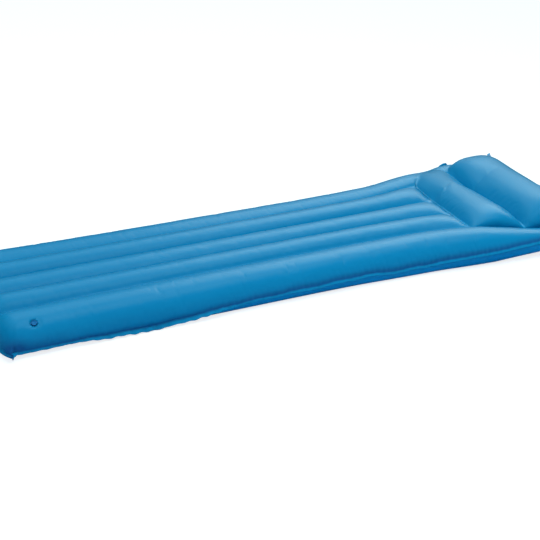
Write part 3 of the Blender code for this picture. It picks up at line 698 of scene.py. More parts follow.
    def section(self, station: float, layer: Layer, side: Side) -> list[tuple[float, ...]]:
        """Return one half of a row: X, distance from the middle, Z, weld and painted shade, rim
        edge first.

        Args:
            station: Place of the row, out to the end edges.
            layer: Upper or lower skin.
            side: Near or far half.

        Returns:
            The row's points, from the rim's edge to the middle line.
        """
        s = self.sizes
        upper = layer is Layer.UPPER
        place = self.within(station)
        full = self.fullness(place)
        flat_half = s.head_flat if place > s.length / 2 else s.foot_flat
        rim = self.side_tube(place)[4]
        _, wider, droop, _ = self.rim_line(place, side)
        droop = min(droop, self.hang_limit(place, side))
        raised = layer.value * (s.seam_gap / 2 + s.film)
        outline = self.upper_half(place, side) if upper else self.lower_half(place, side)
        level = rim + raised
        fan_end = self.SIDE_STEPS if upper else self.fan_count()
        inner_end = outline[fan_end][0]
        points = []
        for k, (across, height) in enumerate(outline):
            flat = across
            if k < fan_end:
                flat = flat_half + (inner_end - flat_half) * k / fan_end
            points.append((flat + (across - flat) * full, level + (height - level) * full))
        weld_across, weld_height = self.outline(place, self.rim_angle(place, side))
        weld_across = flat_half + (weld_across - flat_half) * full
        weld_height = rim + (weld_height - rim) * full
        droop *= full
        normal = (math.sin(droop), math.cos(droop))
        along = (math.cos(droop), -math.sin(droop))
        points[0] = (weld_across + raised * normal[0], weld_height + raised * normal[1])
        ripple = self.rim_ripple(station, side)
        frill = 1 + self.FRILL * float(self.wave[side].at(station + self.FRILL_LAG)) * full
        flap = []
        for share in self.FLAP_SHARES:
            out = (s.rim_width + wider * full) * share * frill
            flap.append((points[0][0] + along[0] * out, points[0][1] + along[1] * out, share))
        row = []
        outer = station - place
        end_weld = float(abs(outer) > 0)
        for across, height, share in flap:
            lifted = ripple * (self.WELD_SHARE + (1 - self.WELD_SHARE) * share)
            row.append((*self.place_point(place, outer, across + normal[0] * lifted,
                                          height + normal[1] * lifted), 1.0, 0.0))
        run = 0.0
        near_foot = 0.0
        if upper and side is Side.NEAR:
            near_foot = 1 - float(ease(place, *self.FOOT_FOLD_ENDS))
        last = points[0]
        for k, (across, height) in enumerate(points):
            run += math.hypot(across - last[0], height - last[1])
            last = (across, height)
            near_rim = math.exp(-run / self.RIM_REACH) * ripple * self.WELD_SHARE
            weld = 1.0 if k == 0 else end_weld
            # Painted shade beside the rim's weld, standing in for the shade of the crease there;
            # deeper and wider at the near foot
            fold = self.RIM_FOLD[layer] * math.exp(-(run / self.RIM_REACH) ** 2)
            deep = self.FOOT_FOLD * near_foot * math.exp(-(run / self.FOOT_FOLD_REACH) ** 2)
            fold = max(fold, deep)
            row.append((*self.place_point(place, outer, across + normal[0] * near_rim,
                                          height + normal[1] * near_rim), weld, fold))
        return row

    def fan_count(self) -> int:
        """Return the index of the lower skin's first weld towards the middle."""
        return self.FLANK_STEPS + self.STRIP_STEPS + self.LOWER_STEPS

    def patchy(self, along: np.ndarray | float, side: Side) -> np.ndarray | float:
        """Return how strong the small puckers are at places along a side, from 0.1 to 1."""
        return self.PATCH_MEAN + self.PATCH_SWING * self.patch[side].at(along)

    def rim_ripple(self, station: float, side: Side) -> float:
        """Return how far the rim's edge waves off its plain line."""
        patch = float(self.patchy(station, side))
        wave = self.EDGE_WAVE * float(self.wave[side].at(station))
        flutter = self.EDGE_FLUTTER * float(self.flutter[side].at(station)) * patch
        ends = float(ease(min(station, self.sizes.length - station), 0.0, self.EDGE_ENDS))
        return (wave + flutter) * (self.EDGE_LEAST + (1 - self.EDGE_LEAST) * ends)

    def place_point(self, place: float, outer: float, across: float, height: float) -> Triple:
        """Return a point's X, distance from the middle line and Z."""
        s = self.sizes
        to_foot = 1 - (place - s.rim_width) / s.foot_dome
        to_head = (place - s.pillow_seam) / (s.head_weld - s.pillow_seam)
        foot_share = min(abs(across) / s.foot_flat, 1.0) ** self.FOOT_POWER
        head_share = (abs(across) / (s.head_flat + s.rim_width)) ** self.HEAD_POWER
        foot = min(max(to_foot, 0.0), 1.0) * foot_share
        head = min(max(to_head, 0.0), 1.0) * head_share
        x = place + s.foot_corner_setback * foot + s.head_corner_reach * head - s.half_length
        droop = self.END_DROOP if place < s.length / 2 else 0.0
        return x + outer * math.cos(droop), across, height - abs(outer) * math.sin(droop)

    def far_rise(self, place: float, across: np.ndarray) -> np.ndarray:
        """Return how far points are raised on the far side, under and beside the pillow."""
        s = self.sizes
        seam = self.side_tube(place)[3]
        inner, outer = seam / 3 + s.weld_band / 2, seam - s.weld_band / 2
        outwards = np.clip((across - inner) / (outer - inner), 0.0, 1.0)
        return s.far_rise * max(read_curve(FAR_RISE, 1, place / s.length), 0.0) * outwards

    def rows(self, layer: Layer) -> Surface:
        """Return the whole of one skin.

        Args:
            layer: Upper or lower skin.

        Returns:
            The skin's outer face, a row for each station and columns from near to far.
        """
        s = self.sizes
        grid, welds, folds = [], [], []
        for station in self.stations():
            near = self.section(station, layer, Side.NEAR)
            far = self.section(station, layer, Side.FAR)
            place = self.within(station)
            row = [(x, -across, z) for x, across, z, _, _ in near]
            row += [(x, across, z) for x, across, z, _, _ in reversed(far[:-1])]
            points = np.array(row)
            points[:, 2] += self.far_rise(place, points[:, 1])
            if place < s.length / 2:
                full = self.fullness(place)
                swell = self.END_SWELL[layer] * 2 * full * math.sqrt(1 - full ** 2)
                share = np.minimum(np.abs(points[:, 1]) / s.foot_flat, 1.0)
                points[:, 0] -= swell * (1 - share ** 8)
            grid.append(points)
            whole = near + far[-2::-1]
            welds.append([point[3] for point in whole])
            # Painted shade of each point, for the material
            folds.append([point[4] for point in whole])
        surface = Surface(np.array(grid), np.array(welds), np.array(folds))
        self.lift_far_corner(surface)
        self.pucker(surface, layer)
        surface.points[..., 2] = np.maximum(surface.points[..., 2], 0.0)
        return surface

    def lift_far_corner(self, surface: Surface) -> None:
        """Lift the tip of the far corner at the head."""
        s = self.sizes
        corner = np.array((s.half_length, s.head_flat + s.rim_width))
        away = np.linalg.norm(surface.points[..., :2] - corner, axis=2)
        surface.points[..., 2] += self.TIP_LIFT * np.clip(1 - away / self.TIP_REACH, 0, 1) ** 2

    def weld_columns(self, layer: Layer) -> list[int]:
        """Return the columns at the middle of each weld between two tubes, near ones first."""
        if layer is Layer.UPPER:
            first = self.RIM_STEPS + self.SIDE_STEPS + 1
            second = first + self.INNER_STEPS + self.BAND_STEPS
        else:
            first = self.RIM_STEPS + self.fan_count() + 1
            second = first + 2 * (self.LOWER_STEPS + 1) + 1
        return [first, second, -1 - second, -1 - first]

    def pucker(self, surface: Surface, layer: Layer) -> None:
        """Pucker a skin along its welds, lay folds and painted shade round its foot corners and
        mark the welds.

        Args:
            surface: The skin, changed in place.
            layer: Which skin it is.
        """
        s = self.sizes
        stations = np.array(self.stations())
        along = np.broadcast_to(stations[:, None], surface.weld.shape)
        ends = ease(np.minimum(stations, s.length - stations), *self.PUCKER_ENDS)[:, None]
        height = np.zeros_like(surface.weld)
        for side, column in self.RIM_LINES.items():
            away = surface.reach([column], 1)
            wave = self.pucker_wave[side].at(along + self.RIM_SLANT * away)
            patch = self.patchy(along, side)
            inside = np.ones(surface.weld.shape[1])
            inside[:self.RIM_STEPS] = inside[-self.RIM_STEPS:] = 0.0
            fade = np.exp(-away / self.RIM_REACH) * inside
            height += self.RIM_PUCKER * ends * wave * patch * fade
        for number, column in enumerate(self.weld_columns(layer)):
            away = surface.reach([column], 1)
            wave = self.groove_pucker[number].at(along + self.GROOVE_SLANT * away)
            fade = np.exp(-away / self.GROOVE_REACH)
            height += self.GROOVE_PUCKER[layer] * ends * wave * fade
            for beside in range(column - 1, column + 2):
                welded = np.maximum(surface.weld[:, beside], self.GROOVE_WELD)
                surface.weld[:, beside] = welded
        full = np.array([self.fullness(self.within(station)) for station in stations])
        across = surface.points[..., 1] + self.WAVE_START
        halves = (stations < s.length / 2, stations > s.length / 2)
        for gather, line, rows, (amount, reach) in zip(
                self.gather, self.RIM_LINES.values(), halves, self.GATHERS):
            away = surface.reach([line], 0)
            fan = gather.at(across + self.GATHER_SLANT * away) * np.exp(-away / reach)
            height += rows[:, None] * amount * fan * (full ** 0.5)[:, None]
        surface.push(layer.value * height)
        self.fold_corners(surface, layer)

    def fold_corners(self, surface: Surface, layer: Layer) -> None:
        """Fold the skin in a fan round each corner at the foot, with painted shade round each
        corner.

        Args:
            surface: The skin, changed in place.
            layer: Which skin it is.
        """
        height = np.zeros_like(surface.weld)
        for side, column in self.RIM_LINES.items():
            offset = surface.points - surface.points[self.RIM_STEPS, column]
            away = np.linalg.norm(offset, axis=2)
            turn = np.arctan2(-offset[..., 1] * side.value, np.maximum(offset[..., 0], 1e-6))
            free = surface.weld < self.HELD_WELD
            fan = np.cos(self.FAN_TURNS * turn + self.FAN_START * side.value)
            fade = np.exp(-away / self.FAN_REACH) * free * ease(away, *self.FAN_GROWS)
            height += self.FAN_HEIGHT * fan * fade
            # Painted shade round the corner, darkest at it and only on the free skin
            surface.fold += self.FAN_FOLD * np.exp(-(away / self.FAN_FOLD_REACH) ** 2) * free
        surface.fold = np.minimum(surface.fold, self.DEEPEST_FOLD)
        surface.push(layer.value * height)


@dataclass(frozen=True)
class Seat:
    """Where a valve sits: its middle on the skin's face and its three directions."""

    # Radii round the seat: flat inside the first and free beyond the second; then the same for
    # what the inflation leaves in place
    FLAT, FREE = 0.0135, 0.026
    FIRM, LOOSE = 0.022, 0.045
    WELD_SHARE = 0.7

    origin: Vector
    along: Vector
    across: Vector
    out: Vector

    @property
    def matrix(self) -> Matrix:
        """Return the seat's frame."""
        turned = Matrix((self.along, self.across, self.out)).transposed()
        return Matrix.Translation(self.origin) @ turned.to_4x4()

    def turn(self, vertex: bmesh.types.BMVert) -> float:
        """Return a point's turn round the seat, from 0 to a full turn."""
        offset = vertex.co - self.origin
        return math.atan2(offset.dot(self.across), offset.dot(self.along)) % math.tau

    def hold(self, surface: Surface) -> np.ndarray:
        """Return 1 for the points that the valve keeps in place, fading to 0 round them."""
        away = np.linalg.norm(surface.points - np.array(self.origin), axis=2)
        return 1 - ease(away, self.FIRM, self.LOOSE)

    def flatten(self, surface: Surface) -> None:
        """Press a surface flat, in place, where the valve's flange holds it."""
        offset = surface.points - np.array(self.origin)
        out = np.array(self.out)
        depth = offset @ out
        radius = np.linalg.norm(offset - depth[..., None] * out, axis=-1)
        held = (1 - ease(radius, self.FLAT, self.FREE)) * (np.abs(depth) < self.FREE)
        surface.points -= (held * depth)[..., None] * out
        marked = self.WELD_SHARE * held * (radius < self.FLAT)
        surface.weld = np.maximum(surface.weld, marked)


@dataclass(frozen=True)
class Inflation:
    """A short cloth simulation that swells and puckers a skin between its held welds."""

    frames: int = 8
    quality: int = 3
    pressure: float = 4.0
    slack: float = 0.004
    cap: float = 0.003
    least_edge: float = 0.00002
    stretch_stiffness: float = 15.0
    bending_stiffness: float = 0.4

    def settle(self, piece: bpy.types.Object) -> None:
        """Run the simulation and keep the settled shape, moved by no more than the cap.

        Args:
            piece: The skin, without modifiers, its faces pointing out of the mattress; its
                attribute "held" says how firmly each point keeps its place, from 0 to 1.
        """
        sheet = bmesh.new()
        sheet.from_mesh(piece.data)
        bmesh.ops.remove_doubles(sheet, verts=sheet.verts, dist=self.least_edge)
        sheet.to_mesh(piece.data)
        sheet.free()
        held = np.empty(len(piece.data.vertices), dtype=np.float32)
        piece.data.attributes["held"].data.foreach_get("value", held)
        group = piece.vertex_groups.new(name="firm")
        for index in np.nonzero(held > 0.0)[0].tolist():
            group.add([index], float(held[index]), "REPLACE")
        cloth = piece.modifiers.new("inflation", "CLOTH")
        settings = cloth.settings
        settings.vertex_group_mass = group.name
        settings.quality = self.quality
        settings.tension_stiffness = self.stretch_stiffness
        settings.compression_stiffness = self.stretch_stiffness
        settings.bending_stiffness = self.bending_stiffness
        settings.use_pressure = True
        settings.uniform_pressure_force = self.pressure
        settings.shrink_min = -self.slack
        settings.effector_weights.gravity = 0.0
        cloth.collision_settings.use_collision = False
        cloth.point_cache.frame_start, cloth.point_cache.frame_end = 1, self.frames
        before = np.empty(len(piece.data.vertices) * 3, dtype=np.float32)
        after = np.empty_like(before)
        piece.data.vertices.foreach_get("co", before)
        scene = bpy.context.scene
        for frame in range(1, self.frames + 1):
            scene.frame_set(frame)
            settled = piece.evaluated_get(bpy.context.evaluated_depsgraph_get())
        settled.data.vertices.foreach_get("co", after)
        move = (after - before).reshape(-1, 3)
        length = np.linalg.norm(move, axis=1)
        move *= ((1 - held) * self.cap / np.maximum(length, self.cap))[:, None]
        piece.modifiers.remove(cloth)
        piece.vertex_groups.remove(group)
        piece.data.vertices.foreach_set("co", before + move.reshape(-1))
        piece.data.update()
        scene.frame_set(1)
        LOG.info("%s: settled, largest move %.1f mm", piece.name, 1000 * float(length.max()))


class SkinBuilder:
    """Makes a thin sheet of film from a grid of points."""

    HOLE_STEPS = 48
    HOLE_MARGIN = 0.0018

    def __init__(self, film: float) -> None:
        """Keep the film's thickness."""
        self.film = film

    def build(self, name: str, surface: Surface, outward: bool, material: bpy.types.Material,
              held: np.ndarray | None = None) -> bpy.types.Object:
        """Make the object.

        Args:
            name: Name of the piece.
            surface: The piece's outer face.
            outward: Whether the grid's own face order points out of the mattress.
            material: Finish of the piece.
            held: How firmly each point keeps its place while the skin is inflated, or None for
                a piece that isn't.

        Returns:
            The new object, linked to the scene.
        """
        rows, columns = surface.weld.shape
        index = np.arange(rows * columns).reshape(rows, columns)
        quads = np.stack([index[:-1, :-1], index[1:, :-1], index[1:, 1:], index[:-1, 1:]], axis=-1)
        quads = quads.reshape(-1, 4)
        if not outward:
            quads = quads[:, ::-1]
        mesh = bpy.data.meshes.new(name)
        mesh.from_pydata([tuple(p) for p in surface.points.reshape(-1, 3)], [], quads.tolist())
        firm = np.ones_like(surface.weld) if held is None else held
        # The welds' tint, the painted shade and the hold go to the mesh as attributes
        for title, shares in (("weld", surface.weld), ("fold", surface.fold), ("held", firm)):
            layer = mesh.attributes.new(title, "FLOAT", "POINT")
            layer.data.foreach_set("value", shares.reshape(-1).astype(np.float32))
        mesh.materials.append(material)
        mesh.shade_smooth()
        piece = add_object(name, mesh)
        if held is not None:
            Inflation().settle(piece)
        solid = piece.modifiers.new("film", "SOLIDIFY")
        solid.thickness = self.film
        solid.offset = -1.0
        return piece

    def cut_hole(self, piece: bpy.types.Object, seat: Seat, radius: float) -> None:
        """Cut the round hole that a valve's collar stands in.

        Args:
            piece: The skin; its face is flat round the seat.
            seat: Where the valve sits.
            radius: Radius of the hole.
        """
        sheet = bmesh.new()
        sheet.from_mesh(piece.data)
        inside = []
        for vertex in sheet.verts:
            offset = vertex.co - seat.origin
            depth = offset.dot(seat.out)
            away = (offset - seat.out * depth).length
            if abs(depth) < radius and away < radius + self.HOLE_MARGIN:
                inside.append(vertex)
        edges = {edge for vertex in inside for face in vertex.link_faces for edge in face.edges}
        bmesh.ops.delete(sheet, geom=inside, context="VERTS")
        border = self.walk([edge for edge in edges if edge.is_valid and edge.is_boundary], seat)
        ring = []
        for k in range(self.HOLE_STEPS):
            turn = math.tau * k / self.HOLE_STEPS
            ring.append(sheet.verts.new(seat.matrix @ Vector((radius * math.cos(turn),
                                                              radius * math.sin(turn), 0.0))))
        for corners in self.stitch(border, ring, seat):
            face = sheet.faces.new(corners)
            face.smooth = True
            face.normal_update()
            if face.normal.dot(seat.out) < 0:
                face.normal_flip()
        sheet.to_mesh(piece.data)
        sheet.free()

    @staticmethod
    def walk(edges: Sequence[bmesh.types.BMEdge], seat: Seat) -> list[bmesh.types.BMVert]:
        """Return a closed border's points in order, turning from the seat's first direction.

        Args:
            edges: Edges of the border.
            seat: The seat that it runs round.

        Returns:
            Its points, each once.
        """
        beside: dict[bmesh.types.BMVert, list[bmesh.types.BMVert]] = {}
        for edge in edges:
            for vertex in edge.verts:
                beside.setdefault(vertex, []).append(edge.other_vert(vertex))
        first = min(beside, key=seat.turn)
        ahead = max(beside[first], key=lambda v: math.sin(seat.turn(v) - seat.turn(first)))
        loop = [first]
        while ahead is not first:
            loop.append(ahead)
            ahead = next(v for v in beside[ahead] if v is not loop[-2])
        return loop

    @staticmethod
    def stitch(outer: Sequence[bmesh.types.BMVert], inner: Sequence[bmesh.types.BMVert],
               seat: Seat) -> Iterator[tuple[bmesh.types.BMVert, ...]]:
        """Yield the triangles between two closed loops.

        Args:
            outer: The border, in order round the seat.
            inner: The hole's edge, in the same order.
            seat: The seat that both run round.

        Yields:
            The corners of each triangle.
        """
        i = j = 0
        while i < len(outer) or j < len(inner):
            next_outer, next_inner = outer[(i + 1) % len(outer)], inner[(j + 1) % len(inner)]
            outer_turn = seat.turn(next_outer) + math.tau * ((i + 1) // len(outer))
            inner_turn = seat.turn(next_inner) + math.tau * ((j + 1) // len(inner))
            corners = (outer[i % len(outer)], inner[j % len(inner)])
            if j == len(inner) or (i < len(outer) and outer_turn < inner_turn):
                yield (*corners, next_outer)
                i += 1
            else:
                yield (*corners, next_inner)
                j += 1


class WebForm:
    """The four webs inside: upright strips welded to both skins, with a foot at each."""

    STEPS = 8

    foot: float = 0.004
    end_gap: float = 0.030

    def __init__(self, body: BodyForm) -> None:
        """Keep the body that the webs stand in."""
        self.body = body

    def rows(self, number: int, upper: Surface, lower: Surface) -> Surface:
        """Return one web, from its upper foot to its lower one.

        Args:
            number: Number of the web, from the near side.
            upper: The upper skin.
            lower: The lower skin.

        Returns:
            The web's face, a row for each place along it.
        """
        s = self.body.sizes
        top = self.body.weld_columns(Layer.UPPER)[number]
        bottom = self.body.weld_columns(Layer.LOWER)[number]
        last = s.pillow_seam if number in (0, 3) else s.pillow_start - self.end_gap
        stations = np.array(self.body.stations())
        held = np.flatnonzero((stations >= s.valve_place) & (stations <= last))[::2]
        side = 1 if number < 2 else -1
        grid = []
        for row in held:
            high, low = upper.points[row, top].copy(), lower.points[row, bottom].copy()
            high[2] -= s.film + s.seam_gap
            low[2] += s.film + s.seam_gap
            shift = np.array((0.0, side * self.foot / 2, 0.0))
            strip = [high - shift, high + shift]
            strip += [high + shift + (low - high) * k / self.STEPS for k in range(1, self.STEPS)]
            grid.append(strip + [low + shift, low - shift])
        points = np.array(grid)
        marks = np.zeros(points.shape[:2])
        marks[:, [0, 1, -2, -1]] = 1.0
        return Surface(points, marks, np.zeros(points.shape[:2]))


@dataclass(frozen=True)
class PillowEnd:
    """One rounded end of the pillow's tubes, in metres; first the neck tube's, then the head's."""

    held: Pair
    bulge: Pair
    inward: Pair
    middle: Pair
    power: Pair

    def at(self, to_head: float) -> list[float]:
        """Return the end's sizes at a place between the neck tube (0) and the head tube (1)."""
        pairs = (self.held, self.bulge, self.inward, self.middle, self.power)
        return [a + (b - a) * to_head for a, b in pairs]


class PillowForm:
    """The two crosswise tubes of the pillow, as one surface over the upper skin."""

    NECK_STEPS = 50
    HEAD_STEPS = 64
    END_STEPS = 26
    MIDDLE_STEPS = 44
    # Rise at which a tube's end has its full size, and how it grows up to there
    FULL_RISE, GROWTH = 0.05, 0.6
    # Length on either side of the crease over which the neck tube's end turns into the head's
    END_TURN = 0.03
    # Puckers beside the crease, the side edges and the end edges: height, slant and reach
    CREASE_PUCKER = (0.0009, 0.25, 0.012)
    SIDE_PUCKER = (0.0009, 0.25, 0.014)
    END_PUCKER = (0.0008, 0.3, 0.012)
    # Stretch of the end edges' wave, where the waves start, and how far from an edge they grow
    END_STRETCH, WAVE_STARTS, GROWS = 1.3, (1.0, 0.4), 0.004
    CREASE_WELD = 0.8

    neck_height: float = 0.137
    head_height: float = 0.1565
    lip_rise: float = 0.0012
    crease_rise: float = 0.015
    skin_gap: float = 0.0012
    ends = {
        Side.NEAR: PillowEnd((0.000, 0.000), (0.004, 0.004), (0.078, 0.078), (0.25, 0.25),
                             (2.1, 2.2)),
        Side.FAR: PillowEnd((0.035, 0.016), (0.046, 0.024), (0.165, 0.106), (0.42, 0.26),
                            (1.10, 1.90)),
    }

    def __init__(self, body: BodyForm) -> None:
        """Keep the body that the pillow is welded to."""
        self.body = body
        self.crease = [Ripple(131 + k, 0.024, 1.0) for k in range(2)]

    def tube(self, start: float, end: float, crest: float, steps: int) -> list[Pair]:
        """Return places and heights along a crosswise tube, an arch between its two welds."""
        heights = (self.valley(start), self.valley(end))
        rise = crest - (heights[0] + heights[1]) / 2
        limit = 2 * math.atan(rise / ((end - start) / 2))
        return arch((start, end), heights, crest, limit, steps)

    def base(self, place: float) -> float:
        """Return the level on which the pillow is welded, at the near seam."""
        s = self.body.sizes
        place = min(place, s.head_weld)
        full = self.body.fullness(place)
        rim = self.body.side_tube(place)[4] + s.seam_gap / 2 + s.film
        level = rim + (self.body.pillow_floor(place) - rim) * full
        return level + s.seam_gap + s.film

    def valley(self, place: float) -> float:
        """Return the lowest level of the pillow's skin, which stands up at the crease."""
        s = self.body.sizes
        stands = 1 - float(ease(abs(place - s.pillow_seam), s.weld_band, s.weld_band * 3))
        return self.base(place) + self.crease_rise * stands

    def profile(self) -> list[Pair]:
        """Return places and heights along the pillow's middle line."""
        s = self.body.sizes
        half_band = s.weld_band / 2
        first, second = s.pillow_seam - half_band, s.pillow_seam + half_band
        start = self.base(s.pillow_start)
        profile = [(s.pillow_start - s.pillow_margin, start + self.lip_rise)]
        profile += [(s.pillow_start - s.pillow_margin / 2, start + self.lip_rise * 0.3)]
        profile += self.tube(s.pillow_start, first, self.neck_height, self.NECK_STEPS)
        profile += self.tube(second, s.head_weld, self.head_height, self.HEAD_STEPS)
        return profile + [(s.length - s.rim_width / 2, self.base(s.length)),
                          (s.length, self.base(s.length))]

    def skin_height(self, place: float, across: float) -> float:
        """Return the height of the side tube's skin at a distance from the middle line."""
        centre, radius, middle, _, _, _ = self.body.side_tube(place)
        off = min(abs(across - centre), radius)
        return middle + math.sqrt(radius ** 2 - off ** 2)

    def end_points(self, place: float, rise: float, side: Side) -> list[Pair]:
        """Return one rounded end of a row, from its weld to its flat top.

        Args:
            place: Place of the row.
            rise: Height of the row's top over its weld.
            side: Near or far end.

        Returns:
            Distances from the middle line and heights over the weld.
        """
        s = self.body.sizes
        seam = self.body.side_tube(place)[3] - s.weld_band / 2
        to_head = float(ease(place, s.pillow_seam - self.END_TURN, s.pillow_seam + self.END_TURN))
        held, bulge, inward, middle, power = self.ends[side].at(to_head)
        size = min(max(rise, 0.0) / self.FULL_RISE, 1.0) ** self.GROWTH
        held, bulge = seam + held * size, seam + bulge * size
        power = 2 / power
        points = []
        for k in range(self.END_STEPS + 1):
            turn = math.pi * (k / self.END_STEPS) - math.pi / 2
            if turn < 0:
                across = held + (bulge - held) * math.cos(turn)
                height = middle * rise * (1 + math.sin(turn))
            else:
                across = bulge - inward + inward * max(math.cos(turn), 0.0) ** power
                height = middle * rise + (1 - middle) * rise * math.sin(turn) ** power
            points.append((across, height))
        return points

    def rows(self) -> Surface:
        """Return the pillow's outer face, a row for each place and columns from near to far."""
        s = self.body.sizes
        grid, welds = [], []
        profile = self.profile()
        for place, height in profile:
            within = min(place, s.head_weld)
            base = self.base(place)
            margin = place < s.pillow_start or place > s.head_weld
            rise = 0.0 if margin else height - base
            near = self.end_points(within, rise, Side.NEAR)
            far = self.end_points(within, rise, Side.FAR)
            inner = np.linspace(-near[-1][0], far[-1][0], self.MIDDLE_STEPS + 1)[1:-1]
            row = [(-across, h) for across, h in near] + [(y, rise) for y in inner]
            row += [(across, h) for across, h in reversed(far)]
            if margin:
                row = [(y, height - base) for y, _ in row]
            across = np.array([y for y, _ in row])
            points = np.zeros((len(row), 3))
            points[:, 0] = [self.body.place_point(within, place - within, y, 0.0)[0]
                            for y in across]
            points[:, 0] += read_curve(PILLOW_LEAN, 1, within) * across / PILLOW_LEAN_WIDTH
            points[:, 1] = across
            points[:, 2] = base + np.array([h for _, h in row])
            seam = self.body.side_tube(within)[3]
            for k, y in enumerate(across):
                if abs(y) > seam and not margin:
                    lowest = self.skin_height(within, abs(y)) + self.skin_gap
                    points[k, 2] = max(points[k, 2], lowest)
            points[:, 2] += self.body.far_rise(within, across)
            grid.append(points)
            weld = np.zeros(len(row))
            weld[[0, -1]] = 1.0
            welds.append(np.ones(len(row)) if margin else weld)
        surface = Surface(np.array(grid), np.array(welds), np.zeros((len(grid), len(grid[0]))))
        self.pucker(surface)
        return surface

    def pucker(self, surface: Surface) -> None:
        """Pucker the pillow softly along its edge and along the crease.

        Args:
            surface: The pillow's face, changed in place.
        """
        crease = 2 + self.NECK_STEPS
        x, y = (surface.points[..., axis] + self.WAVE_STARTS[axis] for axis in (0, 1))
        surface.weld[crease:crease + 2] = self.CREASE_WELD
        by_crease = surface.reach([crease, crease + 1], 0)
        by_side, by_end = surface.reach([0, -1], 1), surface.reach([1, -3], 0)
        height = np.zeros_like(surface.weld)
        for away, ripple, along, (amount, slant, reach) in (
                (by_crease, self.crease[0], y, self.CREASE_PUCKER),
                (by_side, self.crease[1], x, self.SIDE_PUCKER),
                (by_end, self.crease[0], y * self.END_STRETCH, self.END_PUCKER)):
            height += amount * ripple.at(along + slant * away) * np.exp(-away / reach)
        inside = ease(by_side, 0.0, self.GROWS) * ease(by_end, 0.0, self.GROWS)
        surface.push(height * inside)


